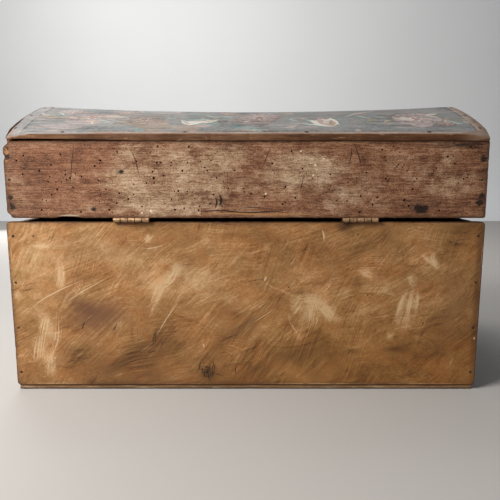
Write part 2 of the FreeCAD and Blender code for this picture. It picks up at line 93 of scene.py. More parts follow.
THIN_START, THIN_SHARE, THIN_BAND = 120.0, 0.34, 16.0
CORNER_WEAR, CORNER_REACH, CORNER_BAND = 0.8, 34.0, 16.5
SLOPE_STRETCH = 1.075

# Colours as linear reflectance, after the four that say which mark a shape makes

NOTHING = (0.0, 0.0, 0.0)
PALE = (1.0, 0.0, 0.0)
DARK = (0.0, 1.0, 0.0)
FRESH = (0.0, 0.0, 1.0)
SLATE = (0.120, 0.128, 0.127)
BORDER = (0.24, 0.185, 0.150)
LINE = (0.034, 0.033, 0.033)
GREY = (0.165, 0.165, 0.165)
ROSE = (0.235, 0.125, 0.105)
BLUSH = (0.32, 0.245, 0.22)
CHALK = (0.52, 0.48, 0.42)
LILAC = (0.290, 0.235, 0.232)
TEAL = (0.085, 0.170, 0.162)
MOSS = (0.085, 0.118, 0.082)
OCHRE = (0.235, 0.150, 0.080)
CRIMSON = (0.150, 0.055, 0.043)
GROUND_TINTS = (BORDER, OCHRE, TEAL, BLUSH, LINE, ROSE)

# The chance that lays out wear on the boards, drawn from in the order of this script

chance = random.Random(5)

# Flat loops


def sides(loop):
    """Each point of a loop with the next one."""
    return zip(loop, loop[1:] + loop[:1])


def between(a, b, share):
    return tuple(p + (q - p) * share for p, q in zip(a, b))


def faint(tint, share):
    return between(NOTHING, tint, share)


def divided(corners, step):
    """The loop through the corners, with a point at least every step."""
    points = []
    for a, b in sides(corners):
        count = max(1, math.ceil(math.dist(a, b) / step))
        points += [between(a, b, i / count) for i in range(count)]
    return points


def outward(points):
    """Unit normals of a loop that runs anticlockwise."""
    normals = []
    for before, after in zip(points[-1:] + points[:-1], points[1:] + points[:1]):
        du, dv = after[0] - before[0], after[1] - before[1]
        size = math.hypot(du, dv) or 1.0
        normals.append((dv / size, -du / size))
    return normals


def grown(points, amount):
    return [(p[0] + n[0] * amount, p[1] + n[1] * amount) for p, n in zip(points, outward(points))]


def softened(points, times):
    """The loop with its corners rounded."""
    for _ in range(times):
        points = [
            (0.5 * p[0] + 0.25 * (a[0] + b[0]), 0.5 * p[1] + 0.25 * (a[1] + b[1]))
            for p, a, b in zip(points, points[-1:] + points[:-1], points[1:] + points[:1])
        ]
    return points


def ragged(points, wear, seed):
    """The loop with its edge worn in, in long hollows and short nicks."""
    worn = []
    for p, n in zip(points, outward(points)):
        hollow = 0.5 + 0.5 * noise.noise((p[0] / HOLLOW_SIZE, p[1] / HOLLOW_SIZE, seed))
        nick = max(0.0, noise.noise((p[0] / NICK_SIZE, p[1] / NICK_SIZE, seed + 9.3)) - NICK_START)
        cut = wear * (HOLLOW_CUT * hollow + NICK_CUT * nick)
        worn.append((p[0] - n[0] * cut, p[1] - n[1] * cut))
    return worn


def area(points):
    return 0.5 * sum(a[0] * b[1] - b[0] * a[1] for a, b in sides(points))


def anticlockwise(points):
    return points if area(points) > 0 else points[::-1]


def simple(points):
    """True if no two sides of a loop cross."""
    start = np.asarray(points)
    stop = np.roll(start, -1, axis=0)
    along = (stop - start)[:, None]
    to_start, to_stop = start[None] - start[:, None], stop[None] - start[:, None]
    first = along[..., 0] * to_start[..., 1] - along[..., 1] * to_start[..., 0]
    second = along[..., 0] * to_stop[..., 1] - along[..., 1] * to_stop[..., 0]
    parted = first * second < -1e-9
    return not (parted & parted.T).any()


def box_of(points):
    return np.min(points, axis=0), np.max(points, axis=0)


def spacing(points, loop):
    """Each point's distance to the nearest point of a loop."""
    points, loop = np.asarray(points), np.asarray(loop)
    nearest = np.full(len(points), 1e9)
    for start in range(0, len(loop), 100):
        part = loop[start : start + 100]
        gap = np.hypot(points[:, None, 0] - part[None, :, 0], points[:, None, 1] - part[None, :, 1])
        nearest = np.minimum(nearest, gap.min(axis=1))
    return nearest


def within(points, loop):
    """True for each point that lies inside a loop."""
    u, v = np.asarray(points).T
    found = np.zeros(len(u), bool)
    for a, b in sides(loop):
        if a[1] != b[1]:
            crosses = (a[1] > v) != (b[1] > v)
            found ^= crosses & (u < a[0] + (b[0] - a[0]) * (v - a[1]) / (b[1] - a[1]))
    return found


def walk(follow):
    """The closed loops that a map from each point to the next one holds."""
    loops = []
    while follow:
        start, place = follow.popitem()
        loop = [start]
        while place != start:
            loop.append(place)
            place = follow.pop(place)
        loops.append(loop)
    return loops


def triangulated(loops, spots):
    """Triangles over loops and spots: points, corners, the loops round each and each point's source."""
    flat, faces = [], []
    for loop in loops:
        faces.append(list(range(len(flat), len(flat) + len(loop))))
        flat += loop
    cut = geometry.delaunay_2d_cdt([Vector(p) for p in flat + spots], [], faces, 1, 1e-4, True)
    return [tuple(p) for p in cut[0]], cut[2], cut[5], cut[3]


def ring_of(u, v, radius, count, uneven=False):
    """A round loop of count points."""
    loop = []
    for i in range(count):
        turn = 2 * math.pi * i / count
        reach = radius * (chance.uniform(0.85, 1.15) if uneven else 1.0)
        loop.append((u + reach * math.cos(turn), v + reach * math.sin(turn)))
    return loop


def rectangle(u0, u1, v0, v1):
    return [(u0, v0), (u1, v0), (u1, v1), (u0, v1)]


def turned(points, u, v, angle):
    c, s = math.cos(angle), math.sin(angle)
    return [(u + p[0] * c - p[1] * s, v + p[0] * s + p[1] * c) for p in points]


def stroke(points, width, blunt=0.25):
    """A thin strip along some points, widest in its middle."""
    left, right = [], []
    last = len(points) - 1
    for i, p in enumerate(points):
        a, b = points[max(0, i - 1)], points[min(last, i + 1)]
        size = math.dist(a, b) or 1.0
        across = (-(b[1] - a[1]) / size, (b[0] - a[0]) / size)
        half = width / 2 * max(blunt, math.sin(math.pi * i / last))
        left.append((p[0] + across[0] * half, p[1] + across[1] * half))
        right.append((p[0] - across[0] * half, p[1] - across[1] * half))
    return anticlockwise(left + right[::-1])


def curve(points, count):
    """A smooth line of count pieces between each two points."""

    def bent(a, b, c, d, t):
        square = (2 * a - 5 * b + 4 * c - d) * t * t
        return 0.5 * (2 * b + (c - a) * t + square + (3 * b - a - 3 * c + d) * t**3)

    line = []
    runs = zip(points[:1] + points[:-2], points[:-1], points[1:], points[2:] + points[-1:])
    for four in runs:
        line += [tuple(bent(*axis, k / count) for axis in zip(*four)) for k in range(count)]
    return line + points[-1:]


def clipped(points, field):
    """The part of a shape that lies inside a convex field, which runs anticlockwise."""
    for a, b in sides(field):
        reach = [(b[0] - a[0]) * (p[1] - a[1]) - (b[1] - a[1]) * (p[0] - a[0]) for p in points]
        kept = []
        for i, p in enumerate(points):
            if (reach[i - 1] < 0) != (reach[i] < 0):
                kept.append(between(points[i - 1], p, reach[i - 1] / (reach[i - 1] - reach[i])))
            if reach[i] >= 0:
                kept.append(p)
        points = kept
        if len(points) < 3:
            return []
    return points


def blobs(u, v, spots):
    """Soft spots (u, v, half width, half height, turn in degrees, strength) added up at each point."""
    total = np.zeros(len(u))
    for middle_u, middle_v, half_u, half_v, turn, strength in spots:
        angle = math.radians(turn)
        du, dv = u - middle_u, v - middle_v
        along = (du * math.cos(angle) + dv * math.sin(angle)) / half_u
        across = (dv * math.cos(angle) - du * math.sin(angle)) / half_v
        total += strength * np.exp(-((along**2 + across**2) ** 1.5))
    return total


def marked(*layers):
    """A function that gives each point of a board the strength of three kinds of mark."""
    return lambda u, v: np.column_stack([blobs(u, v, spots) for spots in layers])


# Boards

OUTER, EDGE, INNER, PIT = range(4)
SHARP_ANGLE = math.radians(38)


def placed(name, data):
    """A new object in the scene."""
    thing = bpy.data.objects.new(name, data)
    bpy.context.scene.collection.objects.link(thing)
    return thing


class Skin:
    """Points and faces of a board's mesh, with each point's place on the board's flat sheet."""

    def __init__(self, place):
        self.place = place
        self.flat, self.points = [], []
        self.faces, self.slots, self.paints = [], [], []

    def add(self, p, w):
        self.flat.append(p)
        self.points.append(self.place(*p, w))
        return len(self.points) - 1

    def face(self, corners, slot, colour=NOTHING):
        self.faces.append(corners)
        self.slots.append(slot)
        self.paints.append(colour)

    def strip(self, ring, following, slot):
        for (a, b), (c, d) in zip(sides(ring), sides(following)):
            self.face([a, c, d, b], slot)


class Panel:
    """A worn board. Its outer face is drawn in (u, v), in mm, and a function puts it in place."""

    def __init__(
        self, corners, place, depth, wear, seed, arris=0.8, round_off=1, step=3.0, grid=5.0, layered=False
    ):
        self.place, self.depth, self.arris, self.grid, self.seed = place, depth, arris, grid, seed
        self.rim = ragged(softened(divided(anticlockwise(corners), step), round_off), wear, seed)
        self.layered, self.ground = layered, NOTHING
        self.pits, self.shapes = [], []

    def pit(self, loop, depth):
        """A hole of some depth, or right through where depth is None."""
        self.pits.append((anticlockwise(loop), depth))

    def nail(self, u, v, half_v=NAIL_PIT_HALF, half_u=NAIL_PIT_HALF):
        """An uneven pit over a nail's head."""
        loop = [
            (u + half_u * a * chance.uniform(0.7, 1.2), v + half_v * b * chance.uniform(0.7, 1.2))
            for a, b in NAIL_PIT_CORNERS
        ]
        self.pit(loop, NAIL_PIT_DEPTH)

    def corner_nails(self, heights):
        for height in heights:
            for side in (-1, 1):
                self.nail(side * CORNER_NAIL_X, height)

    def draw(self, loop, colour):
        """A shape in a colour, left out if its sides cross."""
        if simple(loop):
            self.shapes.append((anticlockwise(loop), colour))

    def line(self, points, count, width, colour):
        self.draw(stroke(curve(points, count), width), colour)

    def spots(self, rim, holes, pitch, slack, from_rim, from_holes):
        """Points in rows over a face, each a little out of place, that keep clear of its rim and holes."""
        scatter = random.Random(self.seed)
        low, high = box_of(rim)
        columns, rows = [max(1, round(size / pitch)) for size in high - low]
        points = [
            (
                low[0] + (high[0] - low[0]) * (i + 0.5) / columns + scatter.uniform(-slack, slack),
                low[1] + (high[1] - low[1]) * (j + 0.5) / rows + scatter.uniform(-slack, slack),
            )
            for i in range(columns)
            for j in range(rows)
        ]
        clear = within(points, rim) & (spacing(points, rim) > from_rim)
        if holes:
            clear &= spacing(points, [p for loop in holes for p in loop]) > from_holes
        return [p for p, good in zip(points, clear) if good]

    def relief(self, u, v):
        """Slow waves and fine unevenness of the planed face."""
        wave = noise.noise((u / WAVE_LENGTH, v / WAVE_WIDTH, self.seed))
        ripple = noise.noise((u / RIPPLE_LENGTH, v / RIPPLE_WIDTH, self.seed + 3.1))
        return WAVE_DEPTH * wave + RIPPLE_DEPTH * ripple - FACE_DROP

    def colour_of(self, stack):
        """Colour under the shapes drawn over a place: the last one's, or all of them added up."""
        if not stack:
            return self.ground
        if not self.layered:
            return self.shapes[max(stack)][1]
        return tuple(min(1.0, sum(self.shapes[i][1][k] for i in stack)) for k in range(3))

    def outer_face(self, skin):
        """Adds the outer face. Gives its rim and its pits' rims, as places and as points of the mesh."""
        rim = grown(self.rim, -self.arris)
        pits = [loop for loop, _ in self.pits]
        spots = self.spots(rim, pits, self.grid, 0.2 * self.grid, 0.5 * self.grid, PIT_CLEARANCE)
        loops = [rim] + pits + [loop for loop, _ in self.shapes]
        places, triangles, owners, _ = triangulated(loops, spots)
        first_shape = 1 + len(pits)
        kept = [
            (tuple(triangle), self.colour_of([o - first_shape for o in own if o >= first_shape]))
            for triangle, own in zip(triangles, owners)
            if 0 in own and not any(0 < o < first_shape for o in own)
        ]
        used = sorted({i for triangle, _ in kept for i in triangle})
        number = {i: skin.add(places[i], self.relief(*places[i])) for i in used}
        for triangle, colour in kept:
            skin.face([number[i] for i in triangle], OUTER, colour)
        directed = {(t[i], t[(i + 1) % 3]) for t, _ in kept for i in range(3)}
        rims = walk({a: b for a, b in directed if (b, a) not in directed})
        rims.sort(key=lambda loop: -area([places[i] for i in loop]))
        return [([places[i] for i in loop], [number[i] for i in loop]) for loop in rims]

    def walls(self, skin, rims):
        """Adds the edges and the pits. Gives the inner side's loops and their points of the mesh."""
        a, d = self.arris, self.depth
        outline, ring = rims[0]
        for reach, drop in ((0.7 * a, -0.25 * a), (a, -0.9 * a), (a, 0.7 * a - d), (0.5 * a, -d)):
            following = [skin.add(p, drop) for p in grown(outline, reach)]
            skin.strip(ring, following, EDGE)
            ring = following
        loops, numbers = [grown(outline, 0.5 * a)], list(ring)
        for places, ring in rims[1:]:
            middle = np.mean(places, axis=0)
            depth = min(self.pits, key=lambda pit: math.dist(middle, np.mean(pit[0], axis=0)))[1]
            foot = [skin.add(p, -(depth or d)) for p in places]
            skin.strip(ring, foot, PIT if depth else EDGE)
            if depth:
                skin.face(foot[::-1], PIT)
            else:
                loops.append(places[::-1])
                numbers += foot[::-1]
        return loops, numbers

    def inner_face(self, skin, loops, numbers):
        """Adds the inner side, with the holes that go right through."""
        pitch, clear = 3.0 * self.grid, BACK_CLEARANCE
        spots = self.spots(loops[0], loops[1:], pitch, BACK_SLACK, clear, clear)
        places, triangles, owners, sources = triangulated(loops, spots)
        number = {}
        for i, source in enumerate(sources):
            known = [o for o in source if o < len(numbers)]
            if known:
                number[i] = numbers[known[0]]
        for triangle, own in zip(triangles, owners):
            if 0 in own and not any(own):
                for i in triangle:
                    if i not in number:
                        number[i] = skin.add(places[i], -self.depth)
                skin.face([number[i] for i in triangle][::-1], INNER)

    def mirrored(self):
        """True if the board's place turns its sheet over."""
        u, v = np.mean(self.rim, axis=0)
        origin = self.place(u, v, 0)
        steps = ((u + 1, v, 0), (u, v + 1, 0), (u, v, 1))
        along, up, out = [self.place(*step) - origin for step in steps]
        return along.cross(up).dot(out) < 0

    def build(self, name, node, body, slot, materials, mark):
        """Makes the piece, which rides on a body and replaces a node where one is named."""
        skin = Skin(self.place)
        self.inner_face(skin, *self.walls(skin, self.outer_face(skin)))
        faces = [corners[::-1] for corners in skin.faces] if self.mirrored() else skin.faces
        mesh = bpy.data.meshes.new(name)
        mesh.from_pydata([p * MM for p in skin.points], [], faces)
        mesh.polygons.foreach_set("material_index", skin.slots)
        for material in (*materials, HOLLOW):
            mesh.materials.append(material)
        marks = np.ones((len(skin.flat), 4), np.float32)
        marks[:, :3] = mark(*np.array(skin.flat).T)
        marks[:, 3] = np.exp(-spacing(skin.flat, self.rim) / EDGE_REACH)
        paint = np.ones((len(mesh.loops), 4), np.float32)
        paint[:, :3] = np.repeat(skin.paints, [len(corners) for corners in faces], axis=0)
        for layer, domain, colours in (("marks", "POINT", marks), ("paint", "CORNER", paint)):
            mesh.attributes.new(layer, "FLOAT_COLOR", domain).data.foreach_set("color", colours.ravel())
        mesh.shade_smooth()
        mesh.set_sharp_from_angle(angle=SHARP_ANGLE)
        piece = placed(name, mesh)
        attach(piece, body)
        if node:
            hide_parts(node)


# Materials


class Shade:
    """A material whose nodes are added one at a time."""

    def __init__(self, name, roughness, specular=0.5, metallic=0.0, crosswise=False):
        self.material = bpy.data.materials.new(name)
        self.material.use_nodes = True
        self.tree = self.material.node_tree
        self.shader = self.tree.nodes["Principled BSDF"]
        looks = {"Roughness": roughness, "Specular IOR Level": specular, "Metallic": metallic}
        self.joined(self.shader, looks)
        self.colour = NOTHING
        self.place = self.add("ShaderNodeTexCoord").outputs["Object"]
        if crosswise:
            self.place = self.rotated("Z_AXIS", self.place, math.pi / 2)

    def add(self, kind, **settings):
        node = self.tree.nodes.new(kind)
        for key, value in settings.items():
            setattr(node, key, value)
        return node

    def join(self, value, socket):
        """Links another node's output to a socket, or sets the socket to a constant."""
        if isinstance(value, bpy.types.NodeSocket):
            self.tree.links.new(value, socket)
        else:
            socket.default_value = (*value, 1.0) if socket.type == "RGBA" else value

    def joined(self, node, values, output=0):
        """The output of a node whose sockets are given values."""
        for key, value in values.items():
            self.join(value, node.inputs[key])
        return node.outputs[output]

    def calc(self, how, a, b=0.0, clamp=False):
        return self.joined(self.add("ShaderNodeMath", operation=how, use_clamp=clamp), {0: a, 1: b})

    def times(self, a, b, clamp=False):
        return self.calc("MULTIPLY", a, b, clamp)

    def total(self, *terms):
        """The terms added up, where a term is a value or a value with its weight."""
        values = [self.times(*term) if isinstance(term, tuple) else term for term in terms]
        result = values[0]
        for value in values[1:]:
            result = self.calc("ADD", result, value)
        return result

    def remap(self, value, low, high, to_low=0.0, to_high=1.0):
        node = self.add("ShaderNodeMapRange", interpolation_type="SMOOTHSTEP")
        return self.joined(node, {0: value, 1: low, 2: high, 3: to_low, 4: to_high})

    def mix(self, share, a, b, how="MIX"):
        node = self.add("ShaderNodeMix", data_type="RGBA", blend_type=how)
        return self.joined(node, {0: share, 6: a, 7: b}, 2)

    def coat(self, share, tint, how="MIX"):
        """Lays a tint over the colour so far."""
        self.colour = self.mix(share, self.colour, tint, how)

    def ramp(self, value, *stops):
        node = self.add("ShaderNodeValToRGB")
        elements = node.color_ramp.elements
        while len(elements) < len(stops):
            elements.new(0.5)
        for element, (position, colour) in zip(elements, stops):
            element.position = position
            element.color = (*colour, 1.0)
        return self.joined(node, {0: value})

    def vector(self, how, a, b):
        return self.joined(self.add("ShaderNodeVectorMath", operation=how), {0: a, 1: b})

    def rotated(self, kind, place, angle):
        node = self.add("ShaderNodeVectorRotate", rotation_type=kind)
        return self.joined(node, {"Vector": place, "Angle": angle})

    def along(self, axis):
        return self.joined(self.add("ShaderNodeSeparateXYZ"), {0: self.place}, axis)

    def noise(self, sizes, detail=4.0, rough=0.55, place=None, warp=0.0, output=0):
        """Noise with features of the given sizes in mm along X, Y and Z."""
        scaled = self.vector("MULTIPLY", place or self.place, [1.0 / (size * MM) for size in sizes])
        values = {"Vector": scaled, "Scale": 1.0, "Detail": detail, "Roughness": rough, "Distortion": warp}
        return self.joined(self.add("ShaderNodeTexNoise"), values, output)

    def wave(self, *settings, **more):
        """Noise about zero."""
        return self.calc("SUBTRACT", self.noise(*settings, **more), 0.5)

    def grain(self, length, across):
        """Fine long grain and broad bands of it."""
        fine = self.wave((length, across, across), 5.0, 0.65, warp=0.4)
        return fine, self.wave((length * 2.5, across * 7, across * 7), 3.0, 0.5, warp=0.8)

    def split(self, name):
        """Red, green, blue and alpha of a colour layer on the mesh."""
        node = self.add("ShaderNodeAttribute", attribute_name=name)
        parts = self.add("ShaderNodeSeparateColor")
        self.join(node.outputs["Color"], parts.inputs[0])
        return [*parts.outputs[:3], node.outputs["Alpha"]]

    def strokes(self, cell, length, width, lean, spread, shift):
        """Brush streaks that lie another way in each patch and fade at its edge, and the patch's own tone."""
        moved = self.vector("ADD", self.place, shift)
        wander = self.vector("SUBTRACT", self.noise((cell * 0.7,) * 3, 3.0, output=1), (0.5, 0.5, 0.5))
        patch_place = self.vector("ADD", moved, self.vector("MULTIPLY", wander, (cell * MM,) * 3))
        patch = {"Vector": patch_place, "Scale": 1.0 / (cell * MM)}
        colour = self.joined(self.add("ShaderNodeTexVoronoi", feature="F1"), patch, "Color")
        edge = self.joined(self.add("ShaderNodeTexVoronoi", feature="DISTANCE_TO_EDGE"), patch, "Distance")
        parts = self.add("ShaderNodeSeparateColor")
        self.join(colour, parts.inputs[0])
        turn, tone = [self.calc("SUBTRACT", part, 0.5) for part in parts.outputs[:2]]
        brushed = self.rotated("Y_AXIS", moved, self.total((turn, 2 * spread), lean))
        streak = self.wave((length, 200.0, width), 3.0, 0.6, brushed, 0.15)
        fade = self.remap(edge, 0.0, 0.3)
        return self.times(streak, fade), self.times(tone, fade)

    def surface(self, height=None, strength=0.3, distance=0.4, roughness=None):
        """The material in the colour so far, with bumps where a height is given."""
        self.join(self.colour, self.shader.inputs["Base Color"])
        if roughness is not None:
            self.join(roughness, self.shader.inputs["Roughness"])
        if height is not None:
            values = {"Strength": strength, "Distance": distance * MM, "Height": height}
            self.join(self.joined(self.add("ShaderNodeBump"), values), self.shader.inputs["Normal"])
        return self.material


def ochre_paint():
    """Brushed ochre-brown paint, scuffed pale, with grime and red-brown patches, and painted shade towards
    the bottom and the -X end.
    """
    s = Shade("ochre_brushed_paint", roughness=0.55, specular=0.3)
    scuff, stain, red, near_edge = s.split("marks")
    pale, dark = s.split("paint")[:2]
    wide, wide_tone = s.strokes(95.0, 90.0, 3.0, -0.65, 0.75, (3.1, 0.0, 1.7))
    middle, middle_tone = s.strokes(52.0, 70.0, 1.7, -0.7, 0.65, (7.3, 0.0, 4.1))
    fine, fine_tone = s.strokes(34.0, 45.0, 1.0, -0.55, 0.75, (1.9, 0.0, 8.6))
    cloud = s.wave((70.0, 70.0, 45.0))
    mottle = s.wave((16.0, 16.0, 12.0), 4.0, 0.65)
    speck = s.wave((2.6, 2.6, 2.0), 3.0, 0.65)
    brushed = s.total((wide, 0.7), (middle, 0.8), (fine, 0.85))
    patches = s.total((wide_tone, 0.16), (middle_tone, 0.14), (fine_tone, 0.08))
    uneven = s.total((cloud, 0.85), (mottle, 0.45), (speck, 0.55))
    worn = s.total((scuff, 0.22), (stain, -0.25), (pale, 0.38), (dark, -0.34))
    s.colour = s.ramp(
        s.total(brushed, patches, uneven, worn, 0.5),
        (0.10, (0.102, 0.042, 0.012)),
        (0.38, (0.238, 0.108, 0.034)),
        (0.60, (0.355, 0.178, 0.065)),
        (0.90, (0.560, 0.340, 0.168)),
    )
    hue = s.noise((34.0, 34.0, 26.0), 4.0, 0.6)
    s.coat(s.remap(hue, 0.48, 0.62), (1.05, 0.97, 0.90), "MULTIPLY")
    s.coat(s.remap(hue, 0.48, 0.36), (0.98, 1.02, 1.00), "MULTIPLY")
    # Painted shade: the paint turns darker and warmer towards the bottom and towards the -X end, where less
    # light falls.
    low = s.times(s.remap(s.along("Z"), 0.15, 0.02), s.remap(s.along("X"), 0.16, -0.12))
    s.coat(low, (0.98, 0.90, 0.70), "MULTIPLY")
    s.coat(s.times(red, 0.9, clamp=True), (0.155, 0.066, 0.030))
    wiped = s.wave((34.0, 34.0, 1.5), 4.0, 0.65, s.rotated("Y_AXIS", s.place, -1.25), 0.25)
    rub = s.remap(s.total((scuff, 0.9), (wiped, 2.6), (brushed, 0.7), (speck, 0.9)), 0.1, 1.2)
    rub = s.times(rub, s.remap(scuff, 0.05, 0.8, 0.0, 0.30), clamp=True)
    s.coat(rub, (0.66, 0.48, 0.285))
    grime = s.times(stain, s.remap(s.total(mottle, speck), -0.15, 0.12, 0.4, 1.0), clamp=True)
    s.coat(grime, (0.040, 0.018, 0.007))
    chalky = s.times(s.remap(pale, 0.25, 1.0), s.remap(speck, -0.2, 0.1, 0.35, 0.7))
    s.coat(chalky, (0.62, 0.46, 0.29))
    sooty = s.times(s.remap(dark, 0.35, 1.0), s.remap(speck, -0.2, 0.15, 0.9, 0.5))
    s.coat(sooty, (0.028, 0.016, 0.010))
    chips = s.remap(s.noise((14.0, 14.0, 5.0), 5.0), 0.5, 0.58)
    s.coat(s.times(s.remap(near_edge, 0.45, 0.9), chips), (0.13, 0.068, 0.035))
    rough = s.remap(brushed, -0.3, 0.3, 0.62, 0.46)
    return s.surface(s.total(brushed, (speck, 0.6)), strength=0.35, distance=0.35, roughness=rough)


def bare_wood():
    """Old bare wood of the lid's back: long grain, bleached and reddened in patches, with stains."""
    s = Shade("old_bare_wood", roughness=0.75, specular=0.25)
    bleach, stain, red, near_edge = s.split("marks")
    pale, dark, fresh, _ = s.split("paint")
    fine, broad = s.grain(34.0, 0.9)
    fleck = s.wave((6.0, 6.0, 1.4), 5.0, 0.75)
    grit = s.wave((1.6, 1.6, 1.3), 3.0, 0.7)
    blotch = s.wave((38.0, 38.0, 24.0), 5.0, 0.62)
    mottle = s.wave((11.0, 11.0, 8.0), 5.0, 0.68)
    tone = s.total((fine, 1.15), (broad, 0.6), (fleck, 1.4), (grit, 1.6), (blotch, 0.9), (mottle, 0.9), 0.5)
    brown = s.ramp(
        tone, (0.08, (0.060, 0.022, 0.010)), (0.45, (0.190, 0.078, 0.038)), (0.92, (0.380, 0.205, 0.112))
    )
    grey = s.ramp(
        tone, (0.08, (0.110, 0.052, 0.025)), (0.45, (0.300, 0.180, 0.100)), (0.92, (0.540, 0.385, 0.255))
    )
    share = s.total(bleach, (blotch, 1.5), (mottle, 1.2))
    s.colour = s.mix(s.remap(share, 0.05, 0.85), brown, grey)
    reddened = s.times(red, s.remap(s.total(mottle, blotch), -0.2, 0.15, 0.3, 1.0), clamp=True)
    s.coat(reddened, s.mix(0.55, s.colour, (0.190, 0.060, 0.024)))
    patchy = s.remap(s.total(mottle, fine), -0.25, 0.1, 1.0, 0.35)
    s.coat(s.times(stain, patchy, clamp=True), (0.028, 0.014, 0.008))
    s.coat(s.times(pale, 0.85), (0.78, 0.63, 0.43))
    s.coat(s.times(dark, s.remap(grit, -0.2, 0.15, 1.0, 0.88)), (0.014, 0.007, 0.004))
    s.coat(s.times(fresh, s.remap(fleck, -0.2, 0.2, 0.9, 0.45)), (0.40, 0.19, 0.065))
    soiled = s.times(s.remap(near_edge, 0.35, 1.0), 0.65)
    s.coat(soiled, (0.050, 0.025, 0.013))
    return s.surface(s.total(fine, (fleck, 0.9), (grit, 0.5), (mottle, 0.5)), strength=0.5, distance=0.45)


def plain_wood(name, light, middle, deep, length=40.0, across=1.6, chips=0.0, crosswise=False):
    """Unpainted wood of edges and of the inside. Where chips are asked for, it is rubbed and soiled too."""
    s = Shade(name, roughness=0.78, specular=0.15, crosswise=crosswise)
    fine, broad = s.grain(length, across)
    blotch = s.wave((45.0, 45.0, 45.0), 4.0, 0.6)
    tone = s.total((fine, 0.8), (broad, 0.6), (blotch, 0.5), 0.5)
    s.colour = s.ramp(tone, (0.15, deep), (0.5, middle), (0.85, light))
    if chips:
        flake = s.remap(s.noise((15.0, 15.0, 3.0), 5.0, 0.7), 0.60, 0.67, 0.0, chips)
        s.coat(flake, (0.40, 0.24, 0.13))
        worn, soil = s.split("marks")[:2]
        pale = s.times(worn, s.remap(s.total(fine, blotch), -0.25, 0.2, 0.2, 0.9), clamp=True)
        s.coat(pale, (0.330, 0.200, 0.125))
        s.coat(s.times(soil, 0.8, clamp=True), (0.018, 0.008, 0.004))
    return s.surface(fine, strength=0.35)


def foot_wood():
    """Edge of the bottom board: brown, with pale chips, and painted dark at the floor as a contact shadow."""
    s = Shade("foot_wood_painted_floor_shadow", roughness=0.75)
    fine, broad = s.grain(30.0, 1.2)
    s.colour = s.ramp(s.total(fine, broad, 0.5), (0.2, (0.120, 0.054, 0.018)), (0.8, (0.320, 0.165, 0.062)))
    flake = s.remap(s.noise((22.0, 22.0, 2.0), 5.0, 0.7), 0.53, 0.62, 0.0, 0.7)
    s.coat(flake, (0.46, 0.32, 0.19))
    # Painted shadow: the lowest 2 mm go dark, as the contact shadow where the board meets the floor.
    s.colour = s.mix(s.remap(s.along("Z"), 0.5 * MM, 2.1 * MM), (0.016, 0.010, 0.007), s.colour)
    return s.surface(fine, strength=0.35)


def dark_hollow():
    """Inside of worm holes and of the pits over nail heads."""
    s = Shade("dark_hollow", roughness=0.95)
    tone = s.noise((2.0, 2.0, 2.0))
    s.colour = s.ramp(tone, (0.3, (0.008, 0.004, 0.002)), (0.7, (0.024, 0.012, 0.006)))
    return s.surface()


def flower_paint(name, dust_and_sheen, crosswise=False):
    """Old oil paint over wood, in the colours drawn on the mesh, smeared and eaten away along the grain,
    under a pale film of dust and painted sheen.
    """
    s = Shade(name, roughness=0.6, specular=0.07, crosswise=crosswise)
    wear, dirt, muddle, near_edge = s.split("marks")
    paint = s.add("ShaderNodeAttribute", attribute_name="paint").outputs["Color"]
    fine = s.grain(34.0, 1.2)[0]
    smear = s.wave((38.0, 4.2, 4.2), 5.0, 0.62, warp=0.6)
    cloud = s.wave((48.0, 30.0, 30.0), 4.0, 0.6)
    fleck = s.wave((4.2, 2.2, 2.2), 4.0, 0.7)
    light = s.total((smear, 2.0), (cloud, 0.8), (fleck, 1.3), 1.0)
    shade = s.joined(s.add("ShaderNodeCombineColor"), {0: light, 1: light, 2: light})
    s.colour = s.mix(1.0, paint, shade, "MULTIPLY")
    old = s.ramp(
        s.noise((52.0, 9.0, 9.0), 5.0, 0.65, warp=1.0),
        (0.36, (0.062, 0.104, 0.100)),
        (0.44, (0.098, 0.106, 0.108)),
        (0.50, (0.175, 0.160, 0.160)),
        (0.56, (0.200, 0.130, 0.110)),
        (0.64, (0.300, 0.205, 0.125)),
    )
    old = s.mix(1.0, old, shade, "MULTIPLY")
    covered = s.total((muddle, 0.40), (smear, 2.0), (fleck, 0.9), 0.04)
    s.coat(s.remap(covered, 0.0, 0.6, 0.0, 0.75), old)
    rubbed = s.total(wear, (near_edge, 0.45), (fine, 0.6), (fleck, 0.8), (smear, 0.7))
    bare = s.remap(rubbed, 0.26, 0.46)
    wood = s.ramp(s.total(fine, 0.5), (0.2, (0.080, 0.040, 0.022)), (0.8, (0.225, 0.125, 0.072)))
    s.coat(bare, wood)
    # A pale grey film that stands for dust and for painted sheen, strongest on the top staves.
    dust_and_sheen_film = s.remap(s.total((fine, 1.8), cloud, (fleck, 1.6)), -0.35, 0.35, 0.0, dust_and_sheen)
    s.coat(dust_and_sheen_film, (0.265, 0.240, 0.222))
    grime = s.times(dirt, s.remap(s.total(smear, fleck), -0.3, 0.2, 1.0, 0.55), clamp=True)
    s.coat(grime, (0.022, 0.017, 0.013))
    rough = s.total((bare, 0.2), (fleck, 0.3), 0.56)
    return s.surface(s.total((smear, 0.8), fine, (bare, -0.5)), distance=0.35, roughness=rough)


